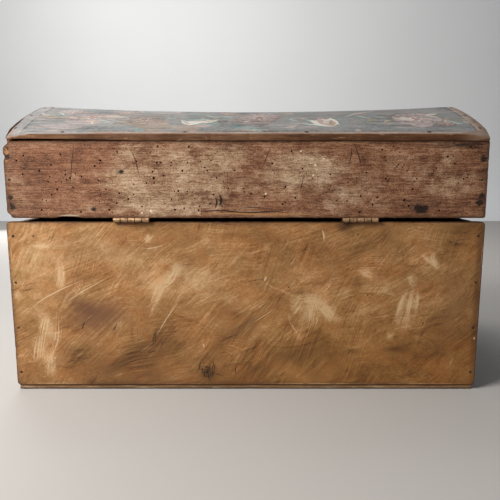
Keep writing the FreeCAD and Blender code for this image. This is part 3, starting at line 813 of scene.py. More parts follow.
def aged_brass():
    """Dull brass, with grime in the joints between the hinge knuckles."""
    s = Shade("aged_brass_with_grime", roughness=0.5, metallic=0.55)
    cloud = s.noise((7.0, 4.0, 4.0), 5.0, 0.65)
    tone = s.total((s.wave((1.2, 0.9, 0.9), 4.0, 0.6), 0.7), cloud)
    s.colour = s.ramp(
        tone, (0.30, (0.075, 0.040, 0.019)), (0.48, (0.340, 0.195, 0.098)), (0.75, (0.600, 0.385, 0.210))
    )
    from_end = s.calc("SUBTRACT", s.calc("ABSOLUTE", s.along("X")), HINGE_INNER_END * MM)
    to_joint = s.calc("PINGPONG", s.calc("DIVIDE", from_end, KNUCKLE_PITCH * MM), 0.5)
    s.coat(s.remap(to_joint, 0.03, 0.11, 0.9, 0.0), (0.030, 0.016, 0.009))
    return s.surface(tone, strength=0.4, distance=0.2, roughness=s.remap(cloud, 0.3, 0.7, 0.72, 0.42))


def forged_iron(name, metallic, deep, middle, rust):
    s = Shade(name, roughness=0.6, metallic=metallic)
    cloud = s.noise((9.0, 9.0, 9.0), 5.0, 0.6)
    tone = s.total((s.wave((1.0, 1.0, 1.0), 4.0, 0.6), 0.6), cloud)
    s.colour = s.ramp(tone, (0.30, deep), (0.55, middle), (0.75, rust))
    return s.surface(tone, strength=0.5, distance=0.25, roughness=s.remap(cloud, 0.35, 0.7, 0.5, 0.85))


OCHRE_PAINT = ochre_paint()
BARE_WOOD = bare_wood()
TOP_PAINT = flower_paint("dusty_sheened_flower_paint", dust_and_sheen=0.42)
SIDE_PAINT = flower_paint("old_flower_paint", dust_and_sheen=0.35)
END_PAINT = flower_paint("end_flower_paint", dust_and_sheen=0.35, crosswise=True)
INSIDE_TONES = ((0.42, 0.27, 0.155), (0.27, 0.155, 0.082), (0.13, 0.068, 0.035))
INSIDE_WOOD = plain_wood("inside_wood", *INSIDE_TONES)
END_INSIDE_WOOD = plain_wood("end_inside_wood", *INSIDE_TONES, crosswise=True)
EDGE_TONES = ((0.168, 0.070, 0.026), (0.078, 0.028, 0.009), (0.022, 0.009, 0.004))
EDGE_GRAIN = {"length": 22.0, "across": 1.2, "chips": 0.55}
EDGE_WOOD = plain_wood("edge_wood", *EDGE_TONES, **EDGE_GRAIN)
END_EDGE_WOOD = plain_wood("end_edge_wood", *EDGE_TONES, **EDGE_GRAIN, crosswise=True)
FOOT_WOOD = foot_wood()
HOLLOW = dark_hollow()
BRASS = aged_brass()
IRON_TONES = ((0.022, 0.019, 0.018), (0.060, 0.050, 0.044), (0.130, 0.066, 0.036))
IRON = forged_iron("old_iron", 0.6, *IRON_TONES)
RUST_TONES = ((0.010, 0.007, 0.005), (0.022, 0.013, 0.009), (0.070, 0.030, 0.014))
NAIL_IRON = forged_iron("rusted_nail", 0.1, *RUST_TONES)

# Places of the boards


def slope_z(y):
    """Underside of a slope stave over its seats."""
    return CIRCLE_Z + math.sqrt(CIRCLE_RADIUS**2 - (abs(y) - CIRCLE_Y) ** 2)


LID_EDGE = slope_z(HALF_DEPTH)


def slope_v(y):
    """Place of a depth on a slope stave's own sheet."""
    return (STAVE_REACH - y) * SLOPE_STRETCH


def crown_z(y):
    """Underside of the crown stave over its seats."""
    return JOINT_Z + CROWN_CAMBER * (1 - (y / CROWN_HALF) ** 2)


def sag(x):
    return STAVE_SAG * max(0.0, 1 - (x / INNER_LENGTH) ** 2)


def fading(distance, reach):
    """Falls from 1 at no distance to 0 at the reach."""
    return max(0.0, 1 - max(0.0, distance) / reach)


def wall_place(side, y_face):
    """Upright board across the depth: u along X, v up."""
    return lambda u, v, w: Vector((u, side * (y_face + w), v))


def lid_wall_place(side):
    """The lid's front or back board, whose top edge slopes with the stave."""
    rise = (slope_z(INNER_DEPTH) - LID_EDGE) / BOARD

    def place(u, v, w):
        share = max(0.0, (v - LID_FOOT) / (LID_EDGE - LID_FOOT)) ** 3
        return Vector((u, side * (HALF_DEPTH + w), v - w * rise * share))

    return place


def end_place(side):
    """End board: u along Y, v up."""
    return lambda u, v, w: Vector((side * (HALF_LENGTH + w), u, v))


def slope_place(side):
    """Slope stave: u along X, v from its outer edge up the slope.

    Its edge is thinner below at one end, and its outer corners are worn down.
    """

    def place(u, v, w):
        y = STAVE_REACH - v / SLOPE_STRETCH
        share = max(0.0, (INNER_DEPTH - y) / (INNER_DEPTH - JOINT_Y))
        at_end = max(0.0, (u - THIN_START) / (HALF_LENGTH - THIN_START)) ** 0.6
        thin = THIN_SHARE * at_end * fading(v, THIN_BAND) ** 0.5
        to_end = min(u - STAVE_LEFT, STAVE_RIGHT - u)
        worn = CORNER_WEAR * fading(to_end, CORNER_REACH) ** 2 * fading(v, CORNER_BAND) ** 1.5
        rise = (STAVE_DEPTH + w) * (1 - worn) - w * thin
        return Vector((u, side * y, slope_z(y) + rise - sag(u) * share**2))

    return place


def crown_place(u, v, w):
    return Vector((u, v, crown_z(v) + STAVE_DEPTH + w - sag(u)))


# Back of the base

FINE_BUNDLES, BROAD_BUNDLES, SCRIBBLES = 170, 34, 26
FINE_LINE, BROAD_LINE = 1.3, 2.4
base_back = Panel(
    [
        (-HALF_LENGTH, BASE_FOOT), (HALF_LENGTH, BASE_FOOT),
        (HALF_LENGTH + BACK_FLARE, BASE_TOP), (-HALF_LENGTH - BACK_FLARE, BASE_TOP),
    ],
    wall_place(1, HALF_DEPTH), BOARD, wear=0.45, seed=2.0, round_off=2, grid=3.6, layered=True,
)
base_back.corner_nails(BASE_NAIL_HEIGHTS)
SCRATCHES = (
    ([(245, 96), (233, 105), (223, 111), (203, 121), (184, 129)], 1.3, PALE),
    ([(205, 103), (183, 117), (159, 130)], 1.0, PALE),
    ([(102, 65), (90, 85), (78, 102)], 1.0, PALE),
    ([(-85, 186), (-87, 180), (-87, 174)], 2.0, PALE),
    ([(-23, 133), (-21, 128)], 2.2, PALE),
    ([(49, 55), (48, 50)], 1.8, PALE),
    ([(183, 82), (186, 76), (187, 71)], 1.6, DARK),
    ([(147, 78), (150, 73), (153, 70)], 1.6, DARK),
    ([(103, 47), (108, 45), (114, 44)], 1.4, DARK),
    ([(30, 56), (20, 62), (8, 66)], 1.0, DARK),
    ([(12, 28), (12, 18)], 1.0, DARK),
    ([(150, 24), (130, 34), (100, 40)], 0.8, DARK),
)
for line, width, colour in SCRATCHES:
    base_back.line(line, 5, width, colour)


def streaks(u, v, lean, length, width, count, tint, strength, thick):
    """A bundle of thin lines side by side, as a dry brush or a knock leaves."""
    bow = chance.uniform(-0.1, 0.1) * length
    for _ in range(count):
        across = chance.uniform(-0.5, 0.5) * width
        size = length * chance.uniform(0.4, 1.0)
        along = chance.uniform(-0.5, 0.5) * (length - size)
        ends = [(along - size / 2, across), (along, across + bow), (along + size / 2, across * 0.9)]
        share = strength * chance.uniform(0.4, 1.0)
        line = turned(ends, u, v, math.radians(lean))
        base_back.line(line, 3, chance.uniform(0.4 * thick, thick), faint(tint, share))


for _ in range(FINE_BUNDLES):
    tint, strength = chance.choice(((PALE, 0.19), (PALE, 0.24), (DARK, 0.2), (DARK, 0.26)))
    u, v = chance.uniform(-260, 260), chance.uniform(9, 191)
    lean = -36 + 80 * noise.noise((u / 75, v / 75, 4.2)) + chance.gauss(0, 10)
    length, width, count = chance.uniform(18, 46), chance.uniform(5, 14), chance.randint(6, 12)
    streaks(u, v, lean, length, width, count, tint, strength, FINE_LINE)
for _ in range(BROAD_BUNDLES):
    tint, strength = chance.choice(((PALE, 0.16), (DARK, 0.16)))
    lean = chance.choice((-38, -34, -30, -58, 24)) + chance.gauss(0, 11)
    u, v = chance.uniform(-235, 235), chance.uniform(30, 175)
    length, width, count = chance.uniform(45, 95), chance.uniform(8, 18), chance.randint(6, 10)
    streaks(u, v, lean, length, width, count, tint, strength, BROAD_LINE)
RUBS = (
    (229, 72, 104, 40, 14, 12, 0.60), (236, 48, 100, 36, 14, 12, 0.55), (226, 32, 100, 34, 12, 10, 0.55),
    (221, 60, 106, 70, 9, 7, 0.55), (209, 134, 95, 30, 9, 8, 0.60), (259, 112, 60, 12, 8, 5, 0.50),
    (230, 168, 5, 22, 4, 4, 0.50), (86, 131, -49, 36, 9, 11, 0.62), (100, 112, -66, 28, 9, 9, 0.55),
    (106, 94, -72, 26, 8, 6, 0.40), (109, 177, -45, 15, 5, 6, 0.65), (-56, 98, -57, 20, 8, 8, 0.55),
    (-57, 76, 66, 38, 3, 4, 0.50), (-91, 94, 49, 33, 10, 11, 0.60), (-74, 90, 88, 50, 12, 11, 0.50),
    (-176, 98, 108, 40, 4, 7, 0.65), (-186, 101, 100, 34, 4, 7, 0.65), (-193, 104, 94, 26, 3, 5, 0.60),
    (-181, 84, 108, 30, 16, 8, 0.40), (-165, 64, 70, 14, 6, 5, 0.50), (-136, 137, 30, 22, 8, 7, 0.55),
    (-187, 129, 60, 16, 6, 6, 0.55), (-212, 150, 70, 22, 8, 8, 0.60), (-203, 153, 40, 16, 5, 5, 0.55),
    (45, 140, -40, 40, 10, 7, 0.35), (-20, 90, -35, 46, 9, 6, 0.35), (-120, 88, -20, 60, 8, 6, 0.40),
)
for u, v, lean, length, width, count, strength in RUBS:
    streaks(u, v, lean, length, width, 2 * count, PALE, 0.6 * strength, FINE_LINE)
WORN_EDGES = (
    ([(-264.4, 146), (-264.8, 168)], 1.2, 0.5),
    ([(-263.8, 122), (-264.2, 140)], 1.0, 0.4),
    ([(-263.2, 84), (-263.4, 96)], 1.0, 0.35),
    ([(-261.6, 59.5), (-261.8, 63)], 2.4, 0.8),
    ([(262.4, 148), (262.8, 166)], 1.4, 0.5),
    ([(261.6, 118), (262, 132)], 1.2, 0.4),
    ([(-20, 7.2), (-90, 6.8), (-150, 7.1)], 1.1, 0.55),
    ([(-165, 7), (-250, 6.8)], 1.1, 0.5),
    ([(246, 7.4), (190, 7)], 1.6, 0.45),
    ([(120, 7), (40, 6.9)], 0.9, 0.35),
    ([(90, 193), (30, 193.4)], 1.0, 0.3),
    ([(-190, 193.2), (-250, 193)], 1.0, 0.3),
)
for line, width, share in WORN_EDGES:
    base_back.line(line, 6, width, faint(PALE, share))
for u, v in ((237, 179), (-48, 121), (-138, 112), (-202, 79), (-229, 172), (-125, 181)):
    base_back.draw(ring_of(u, v, 1.1, 8, uneven=True), DARK)
for _ in range(SCRIBBLES):
    u, v = chance.gauss(43, 5.5), chance.gauss(19, 6)
    lean = chance.choice((math.pi / 2, math.pi / 2, 0.2)) + chance.uniform(-0.35, 0.35)
    half = chance.uniform(2, 5.5)
    ends = turned([(-half, 0.0), (0.0, 0.0), (half, 0.0)], u, v, lean)
    if min(p[1] for p in ends) > BASE_FOOT + 2:
        base_back.draw(stroke(ends, chance.uniform(0.9, 1.9)), DARK)
BASE_SCUFFS = (
    (226, 74, 8, 19, -20, 0.9), (236, 50, 9, 15, -8, 0.75), (226, 30, 8, 15, 0, 0.8),
    (209, 134, 5, 15, 0, 0.7), (259, 112, 5, 5, 0, 0.8), (230, 168, 10, 3, 5, 0.8), (252, 92, 8, 8, 0, 0.4),
    (109, 177, 6, 5, 40, 0.9), (77, 142, 8, 6, -45, 0.85), (88, 131, 9, 6, -48, 0.8),
    (99, 118, 7, 9, 0, 0.7), (105, 102, 8, 9, 0, 0.5), (-56, 104, 6, 11, 15, 0.75),
    (-62, 70, 4, 18, 8, 0.55), (-72, 100, 9, 17, 10, 0.8),
    (-92, 96, 7, 18, -35, 0.7), (-80, 90, 22, 16, 0, 0.4), (-176, 98, 4, 18, 18, 0.85),
    (-186, 101, 3, 16, 10, 0.8), (-193, 104, 3, 13, 4, 0.7), (-181, 80, 13, 12, 0, 0.4),
    (-165, 64, 5, 6, 0, 0.6), (-136, 137, 9, 7, 30, 0.75), (-187, 129, 6, 7, -30, 0.65),
    (-212, 150, 5, 10, -20, 0.7), (-203, 153, 7, 4, 40, 0.6), (-225, 143, 4, 2, 0, 0.6),
    (150, 150, 60, 20, 0, 0.12), (40, 120, 50, 30, 0, 0.12), (-150, 160, 40, 14, 20, 0.18),
    (60, 130, 20, 10, 40, 0.3), (-150, 120, 24, 12, -30, 0.2), (215, 150, 70, 60, 0, 0.42),
    (20, 140, 90, 45, 0, 0.26), (-215, 110, 60, 60, 0, 0.34), (-80, 135, 44, 24, 0, 0.35),
    (-130, 84, 40, 20, 0, 0.3),
)
BASE_STAINS = (
    (-110, 190, 9, 7, 0, 0.7), (43, 19, 8, 9, 0, 0.5), (-123, 46, 9, 3, 0, 0.45), (-171, 48, 15, 4, 0, 0.45),
    (-263, 100, 5, 120, 0, 0.5), (0, 196, 300, 4, 0, 0.5), (0, 4, 300, 5, 0, 0.35), (265, 80, 4, 90, 0, 0.4),
    (-230, 60, 30, 22, 0, 0.2), (-60, 40, 60, 16, 20, 0.18), (180, 40, 50, 14, 25, 0.16),
    (11, 83, 26, 22, 0, 0.22), (4, 72, 48, 8, -38, 0.34), (-30, 30, 60, 9, -24, 0.2),
    (95, 62, 40, 8, -30, 0.2), (-225, 88, 40, 9, -36, 0.24), (130, 40, 34, 7, -28, 0.26),
    (40, 165, 50, 7, -34, 0.16), (-150, 176, 50, 8, -26, 0.2), (200, 120, 34, 7, -30, 0.16),
    (-240, 190, 26, 10, 0, 0.25), (-60, 10, 220, 45, 0, 0.16), (120, 20, 60, 50, 0, 0.18),
)
BASE_REDS = (
    (168, 88, 34, 17, -12, 0.95), (190, 102, 18, 9, 30, 0.6), (-238, 96, 22, 40, 0, 0.3),
    (150, 165, 60, 16, 0, 0.2),
)
base_back.build(
    "worn_base_back", "base_back_board", "base", "ochre_painted_wood", (OCHRE_PAINT, EDGE_WOOD, INSIDE_WOOD),
    marked(BASE_SCUFFS, BASE_STAINS, BASE_REDS),
)

# Back of the lid

WORM_TRIES = 150
lid_back = Panel(
    [
        (-HALF_LENGTH - LID_LIP, LID_FOOT), (183, LID_FOOT), (186, LID_FOOT + 1.2), (205, LID_FOOT + 1.5),
        (209, LID_FOOT), (259, LID_FOOT), (261, LID_FOOT + 4), (264.5, LID_FOOT + 6), (265, 262),
        (263.4, 264.4), (263.2, 266.6), (265, 268.6), (265, 276), (262, 278.4), (260, 281),
        (259, LID_EDGE - 1.0), (THIN_START, LID_EDGE), (-HALF_LENGTH - LID_LIP, LID_EDGE),
    ],
    lid_wall_place(1), BOARD, wear=0.5, seed=7.0, step=2.5, grid=3.6, layered=True,
)
lid_back.corner_nails(LID_NAIL_HEIGHTS)
taken = [(side * CORNER_NAIL_X, z, NAIL_ROOM) for side in (-1, 1) for z in LID_NAIL_HEIGHTS]


def worm(u, v, radius):
    """A worm's hole, if there is room for it."""
    if all(math.dist((u, v), spot[:2]) >= radius + spot[2] + WORM_GAP for spot in taken):
        taken.append((u, v, radius))
        lid_back.pit(ring_of(u, v, radius, 7, uneven=True), WORM_DEPTH)


LARGE_WORMS = (
    (101, 243, 1.5), (-29, 259, 1.3), (226, 251, 1.2), (217, 239, 1.1), (-145, 222, 1.2), (-175, 219, 1.3),
)
for spot in LARGE_WORMS:
    worm(*spot)
for _ in range(WORM_TRIES):
    worm(chance.uniform(-250, 252), chance.uniform(203, 278), chance.uniform(0.65, 1.25))
LID_SCRATCHES = (
    ([(125, 274), (121, 264), (118, 252), (116, 243)], 1.0, DARK),
    ([(187, 279), (190, 260), (193, 236)], 0.8, DARK),
    ([(-116, 279), (-115, 268), (-113, 257)], 1.0, DARK),
    ([(-119, 278), (-123, 268), (-126, 256)], 1.1, DARK),
    ([(-28, 278), (-23, 266), (-19, 256)], 0.9, DARK),
    ([(-65, 250), (-62, 238), (-60, 228)], 0.8, DARK),
    ([(60, 205.5), (30, 207.5), (0, 205), (-30, 206.5), (-52, 204)], 1.6, DARK),
    ([(10, 209), (-10, 211), (-40, 207)], 0.8, DARK),
    ([(29, 225), (27, 219), (29, 212)], 3.2, DARK),
    ([(33, 222), (32, 216), (34, 210)], 2.0, DARK),
    ([(55, 203), (20, 204.5), (-20, 203), (-60, 203.5), (-82, 202)], 2.2, FRESH),
    ([(207, 201.5), (196, 202), (184, 201.5)], 2.0, PALE),
    ([(262, 276), (260, 271), (262, 268)], 3.0, FRESH),
    ([(263, 262), (260, 261)], 2.4, FRESH),
)
for line, width, colour in LID_SCRATCHES:
    lid_back.line(line, 6, width, colour)
PALE_DOTS = (
    (105, 207, 1.4), (115, 205, 1.2), (-85, 264, 1.0), (-76, 257, 1.2), (-74, 246, 1.1), (-60, 272, 1.0),
    (-22, 226, 1.2), (-78, 252, 0.8), (-71, 259, 0.8),
)
for u, v, radius in PALE_DOTS:
    lid_back.draw(ring_of(u, v, radius, 7, uneven=True), PALE)
DARK_SPOTS = (
    (260.5, 267, 2.8), (260.5, 274, 2.2), (260, 222, 3.0), (257.5, 211.5, 3.2), (-260, 263, 3.4),
    (-260.5, 224, 3.0), (-258.5, 216.5, 3.6), (-192, 208, 4.4), (-198, 209.5, 3.6), (-189, 211, 2.6),
    (137, 250, 2.2), (168, 209, 2.4),
)
for u, v, radius in DARK_SPOTS:
    for share, reach in ((0.3, 1.3), (0.35, 0.95), (0.6, 0.6)):
        lid_back.draw(ring_of(u, v, radius * reach, 9, uneven=True), faint(DARK, share))
    for _ in range(int(2 * radius)):
        lean, half = chance.uniform(-0.5, 0.5), chance.uniform(0.5, 1.0) * radius
        middle = (u + chance.gauss(0, 0.5) * radius, v + chance.gauss(0, 0.4) * radius)
        ends = turned([(-half, 0.0), (0.0, 0.3), (half, 0.0)], *middle, lean)
        lid_back.draw(stroke(ends, chance.uniform(1.0, 2.2)), faint(DARK, chance.uniform(0.7, 1.0)))
UPPER_STAINS = (
    [(-216, 276.5), (-236, 278), (-252, 277.6)],
    [(-228, 279.4), (-245, 280), (-261, 279.2)],
    [(-238, 276), (-258, 275.6)],
)
for line in UPPER_STAINS:
    lid_back.line(line, 5, 2.4, faint(DARK, 0.7))
LID_BLEACHES = (
    (118, 238, 45, 26, 0, 0.5), (80, 215, 70, 16, 0, 0.55), (60, 262, 50, 18, 0, 0.4),
    (-60, 256, 40, 18, 0, 0.55), (-215, 246, 38, 28, 0, 0.42), (-110, 216, 50, 14, 0, 0.25),
    (-85, 240, 50, 24, 0, 0.35), (20, 240, 60, 26, 0, 0.45), (-148, 250, 20, 24, 0, 0.35),
    (196, 246, 16, 14, 0, 0.3), (123, 272, 28, 10, 0, 0.5), (11, 272, 28, 11, 0, 0.55),
)
LID_STAINS = (
    (-232, 279, 26, 4, 0, 0.8), (-194, 208, 9, 6, 0, 0.85), (137, 250, 5, 3.5, 0, 0.8),
    (168, 209, 5, 3, 0, 0.9), (-103, 230, 3, 5, 0, 0.8), (28, 218, 6, 6, 0, 0.5), (235, 214, 26, 6, 0, 0.35),
    (258, 262, 6, 16, 0, 0.5), (258, 210, 6, 8, 0, 0.5), (-180, 215, 26, 8, 0, 0.3), (0, 281, 300, 3, 0, 0.3),
    (-260, 240, 6, 60, 0, 0.35), (232, 245, 14, 22, 0, 0.25), (185, 208, 4, 2.5, 0, 0.7),
    (255, 230, 12, 30, 0, 0.25), (5, 204, 45, 2.5, 0, 0.4), (240, 240, 26, 44, 0, 0.22),
    (-200, 214, 28, 10, 0, 0.4),
)
LID_REDS = (
    (225, 250, 45, 40, 0, 0.6), (160, 262, 40, 18, 0, 0.45), (-148, 252, 15, 17, 0, 0.65),
    (-15, 214, 45, 12, 0, 0.5), (103, 233, 6, 7, 0, 0.6), (165, 222, 8, 5, 0, 0.4), (0, 250, 24, 20, 0, 0.35),
    (-10, 270, 30, 8, 0, 0.35), (-170, 205, 60, 6, 0, 0.4),
)
lid_back.build(
    "worn_lid_back", "lid_back_board", "lid", "bare_wood", (BARE_WOOD, EDGE_WOOD, INSIDE_WOOD),
    marked(LID_BLEACHES, LID_STAINS, LID_REDS),
)

# Painted ornament

LINE_STEP, LINE_WIDTH = 6.0, 2.2
FIELD_LEFT, FIELD_RIGHT = STAVE_LEFT + 11, STAVE_RIGHT - 15


def petal(length, width, count=14):
    """A drop that starts at nothing and is widest past its middle."""
    points = []
    for i in range(count):
        turn = 2 * math.pi * i / count
        along = 0.5 - 0.5 * math.cos(turn)
        points.append((length * along, width / 2 * math.sin(turn) * (0.35 + 0.75 * along)))
    return points


def leaf_shape(length, width, count=12):
    """A pointed leaf."""
    shares = [i / count for i in range(count + 1)]
    upper = [(length * t, width / 2 * math.sin(math.pi * t**0.85)) for t in shares]
    return upper[:-1] + [(u, -v) for u, v in upper[:0:-1]]


class Brush:
    """Draws ornament on a panel, inside the painted field."""

    def __init__(self, panel, field, seed):
        self.panel, self.field, self.chance = panel, field, random.Random(seed)
        self.some = self.chance.uniform

    def put(self, points, colour, shake=0.25):
        """Draws a shape with a shaky edge, cut off at the field's edge."""
        shaky = [(p[0] + self.some(-shake, shake), p[1] + self.some(-shake, shake)) for p in points]
        shape = clipped(anticlockwise(shaky), self.field)
        if len(shape) > 2 and abs(area(shape)) > 0.5:
            self.panel.draw(shape, colour)

    def smears(self, count):
        """Long faint strokes along the grain, over the whole field."""
        low, high = box_of(self.field)
        for _ in range(count):
            u, v = self.some(low[0], high[0]), self.some(low[1], high[1])
            half, rise = self.some(8, 34), self.chance.gauss(0, 1.2)
            tint = between(SLATE, self.chance.choice(GROUND_TINTS), self.some(0.12, 0.5))
            line = [(u - half, v - rise), (u, v + self.chance.gauss(0, 0.8)), (u + half, v + rise)]
            self.put(stroke(curve(line, 4), self.some(1.0, 3.6)), tint, 0.0)

    def daubs(self, count, tints, left, right):
        """Short broad strokes of colour that have lost their shape, between two places along the board."""
        low, high = box_of(self.field)
        for _ in range(count):
            u, v = self.some(left, right), self.some(low[1] + 6, high[1] - 8)
            length, width = self.some(12, 34), self.some(7, 15)
            tint = between(SLATE, self.chance.choice(tints), self.some(0.3, 0.85))
            self.put(turned(petal(length, width), u, v, self.some(0, 6.28)), tint, 0.8)

    def leaf(self, u, v, angle, length, colour):
        """A leaf with a dark and a light side and a vein."""
        width = length * self.some(0.3, 0.42)
        self.put(turned(leaf_shape(length, width), u, v, angle), colour, 0.45)
        for side, other in ((-1, SLATE), (1, CHALK)):
            bow = side * width
            rib = [(length * 0.15, 0.0), (length * 0.5, bow * 0.22), (length * 0.85, bow * 0.06)]
            tint = between(colour, other, self.some(0.15, 0.4))
            self.put(turned(stroke(curve(rib, 3), width * 0.22), u, v, angle), tint, 0.0)
        vein = [(length * 0.1, 0.0), (length * 0.5, length * 0.03), (length * 0.88, 0.0)]
        vein = turned(stroke(curve(vein, 3), length * 0.07), u, v, angle)
        self.put(vein, CHALK if colour == TEAL else OCHRE, 0.1)

    def blossom(self, u, v, radius, petals, main, light, heart):
        """A round flower: two rings of petals with brush marks, and a heart with dots."""
        start = self.some(0, 6.28)
        for ring, reach in enumerate((1.0, 0.64)):
            width = 2.9 * radius * reach * math.sin(math.pi / petals)
            tint = between(main, light, 0.5 * ring)
            for i in range(petals):
                angle = start + 2 * math.pi * (i + 0.5 * ring) / petals + self.some(-0.12, 0.12)
                long = radius * reach * self.some(0.74, 1.12)
                worn = between(between(tint, light, self.some(0, 0.6)), SLATE, self.some(0, 0.45))
                wide = width * self.some(0.8, 1.1)
                self.put(turned(petal(1.08 * long, 1.18 * wide), u, v, angle), between(worn, LINE, 0.65), 0.7)
                self.put(turned(petal(long, wide), u, v, angle), worn, 0.7)
                for _ in range(3):
                    lean = angle + self.some(-0.34, 0.34)
                    bend = long * self.some(-0.06, 0.06)
                    mark = [(long * self.some(0.3, 0.6), 0.0), (long * 0.75, bend), (long * 0.97, 0.0)]
                    other = self.chance.choice((light, CHALK, heart, SLATE))
                    mark_tint = between(tint, other, self.some(0.3, 0.8))
                    mark = stroke(curve(mark, 3), radius * self.some(0.04, 0.1))
                    self.put(turned(mark, u, v, lean), mark_tint, 0.0)
        self.put(ring_of(u, v, radius * 0.2, 12), heart)
        for place in turned(ring_of(0.0, 0.0, 0.22 * radius, 5), u, v, start):
            self.put(ring_of(*place, 0.05 * radius + 0.3, 7), CHALK, 0.05)

    def tulip(self, u, v, angle, size, main, light):
        """A cup of three pointed petals."""
        for lean, share, colour in ((-0.42, 0.92, main), (0.42, 0.92, main), (0.0, 1.0, light)):
            self.put(turned(leaf_shape(size * share, size * 0.46), u, v, angle + lean), colour)

    def tuft(self, u, v, length):
        """Four leaves that spread from one place."""
        for lean, colour in ((0.5, TEAL), (1.0, TEAL), (2.1, MOSS), (2.6, MOSS)):
            self.leaf(u, v, lean, length, colour)

    def stem(self, points, width=1.5, colour=MOSS):
        self.put(stroke(curve(points, 7), width, 0.5), colour, 0.1)

    def spray(self, u, v, size, turn, main, light, heart):
        """A flower on a bent stem with leaves and buds to either side."""
        c, s = math.cos(turn), math.sin(turn)
        for way in (-1, 1):
            tip = (u + way * size * 1.9 * c, v + way * size * 1.9 * s + self.some(-0.25, 0.25) * size)
            bend = (u + way * size * 1.1 * c - 0.3 * size * s, v + way * size * 1.1 * s + 0.3 * size * c)
            self.stem([(u, v), bend, tip])
            for share, side, colour in ((0.45, -1, MOSS), (0.6, 1, TEAL), (0.82, -1, MOSS), (1.0, 1, TEAL)):
                angle = math.atan2(tip[1] - v, tip[0] - u) + side * self.some(0.5, 0.9)
                self.leaf(*between((u, v), tip, share), angle, size * self.some(0.65, 0.95), colour)
            self.put(ring_of(*tip, size * 0.14, 9), between(light, SLATE, 0.35), 0.2)
        self.blossom(u, v, size, self.chance.choice((6, 7, 8)), main, light, heart)


def framed(panel, field, seed, smears):
    """A border with a dark line round the painted field. Gives a brush that paints in the field."""
    panel.ground = BORDER
    outline = divided(field, LINE_STEP)
    panel.draw(outline, LINE)
    panel.draw(divided(grown(outline, -LINE_WIDTH), LINE_STEP), SLATE)
    brush = Brush(panel, field, seed)
    brush.smears(smears)
    return brush


def build_painted(brush, name, node, body, rubbed=(), soiled=(), muddled=()):
    """Builds the board that a brush has painted, in the materials of its kind."""
    woods = (TOP_PAINT if "stave" in node else SIDE_PAINT, EDGE_WOOD, INSIDE_WOOD)
    if node.endswith("end"):
        woods = (END_PAINT, END_EDGE_WOOD, END_INSIDE_WOOD)
    brush.panel.build(name, node, body, "dark_painted_wood", woods, marked(rubbed, soiled, muddled))


def slope_stave(seed, side, brush_seed):
    """A slope stave with its border and field, and the brush for its ornament."""
    wide = slope_v(JOINT_Y)
    sheet = rectangle(STAVE_LEFT, STAVE_RIGHT, 0.0, wide)
    panel = Panel(sheet, slope_place(side), STAVE_DEPTH, wear=0.4, seed=seed)
    for x in STAVE_NAIL_X:
        for y in STAVE_END_NAILS:
            panel.nail(x, slope_v(y), STAVE_END_PIT)
    for x in STAVE_EDGE_NAILS:
        panel.nail(x, slope_v(STAVE_EDGE_NAIL_Y), STAVE_EDGE_PIT, STAVE_EDGE_PIT)
    panel.draw(rectangle(STAVE_RIGHT - 90, STAVE_RIGHT - 1, 1.5, wide - 1), GREY)
    return framed(panel, rectangle(FIELD_LEFT, FIELD_RIGHT, 7, wide + 2), brush_seed, smears=110)


TOP_WEAR = (
    (
        (0, 1, 300, 3.0, 0, 0.1), (250, -4, 120, 3.2, 0, 1.3), (60, -2, 150, 2.2, 0, 0.5),
        (-258, 20, 10, 30, 0, 0.25), (-254, 1, 16, 6, 0, 0.7), (256, 15, 8, 20, 0, 0.2),
        (120, 20, 60, 14, 0, 0.15),
    ),
    (
        (0, 123, 300, 2.5, 0, 0.8), (-262, 60, 3, 60, 0, 0.5), (-190, -4, 150, 3.6, 0, 1.5),
        (20, -4, 90, 3.6, 0, 0.4),
    ),
    ((170, 60, 85, 52, 0, 0.8), (0, 60, 130, 60, 0, 0.5), (-200, 60, 70, 50, 0, 0.2)),
)
brush = slope_stave(seed=11.0, side=1, brush_seed=21)
brush.daubs(46, (TEAL, TEAL, BLUSH, OCHRE, OCHRE, ROSE, LINE), -30, 246)
brush.daubs(12, (TEAL, BLUSH, LINE, ROSE), -180, -30)
WASHES = (
    (150, 40, 62, 40, OCHRE, 0.7), (96, 22, 46, 22, OCHRE, 0.6), (236, 28, 54, 24, LILAC, 0.6),
    (60, 36, 30, 26, TEAL, 0.9),
)
for u, v, long, wide, tint, share in WASHES:
    brush.put(turned(petal(long, wide), u, v, math.pi + 0.12), between(SLATE, tint, share), 0.9)
brush.blossom(216, 88, 17, 6, LILAC, BLUSH, ROSE)
brush.blossom(146, 88, 16, 6, ROSE, BLUSH, OCHRE)
brush.leaf(210, 40, 2.8, 34, TEAL)
brush.spray(180, 58, 31, 0.1, LILAC, BLUSH, ROSE)
brush.leaf(168, 66, 3.4, 32, CHALK)
brush.leaf(150, 34, 0.5, 30, TEAL)
brush.spray(118, 48, 21, -0.5, OCHRE, BLUSH, CRIMSON)
brush.tulip(64, 26, 2.0, 34, TEAL, CHALK)
brush.leaf(52, 34, 2.5, 26, CHALK)
brush.leaf(70, 44, 2.9, 34, TEAL)
brush.stem([(84, 70), (74, 52), (64, 30)])
brush.spray(-16, 58, 27, 0.0, ROSE, BLUSH, CRIMSON)
brush.blossom(22, 86, 14, 6, ROSE, BLUSH, OCHRE)
brush.blossom(-52, 90, 12, 6, OCHRE, BLUSH, CRIMSON)
brush.leaf(-84, 22, 2.2, 38, TEAL)
brush.leaf(-90, 22, 0.35, 32, TEAL)
brush.tulip(-96, 22, 1.25, 36, CHALK, BLUSH)
brush.leaf(-106, 30, 0.9, 30, CHALK)
brush.leaf(-88, 34, 2.3, 20, CHALK)
brush.leaf(-98, 24, 1.6, 22, OCHRE)
brush.stem([(-118, 62), (-136, 84), (-158, 100)], 2.2, CHALK)
brush.blossom(-226, 40, 15, 6, ROSE, BLUSH, OCHRE)
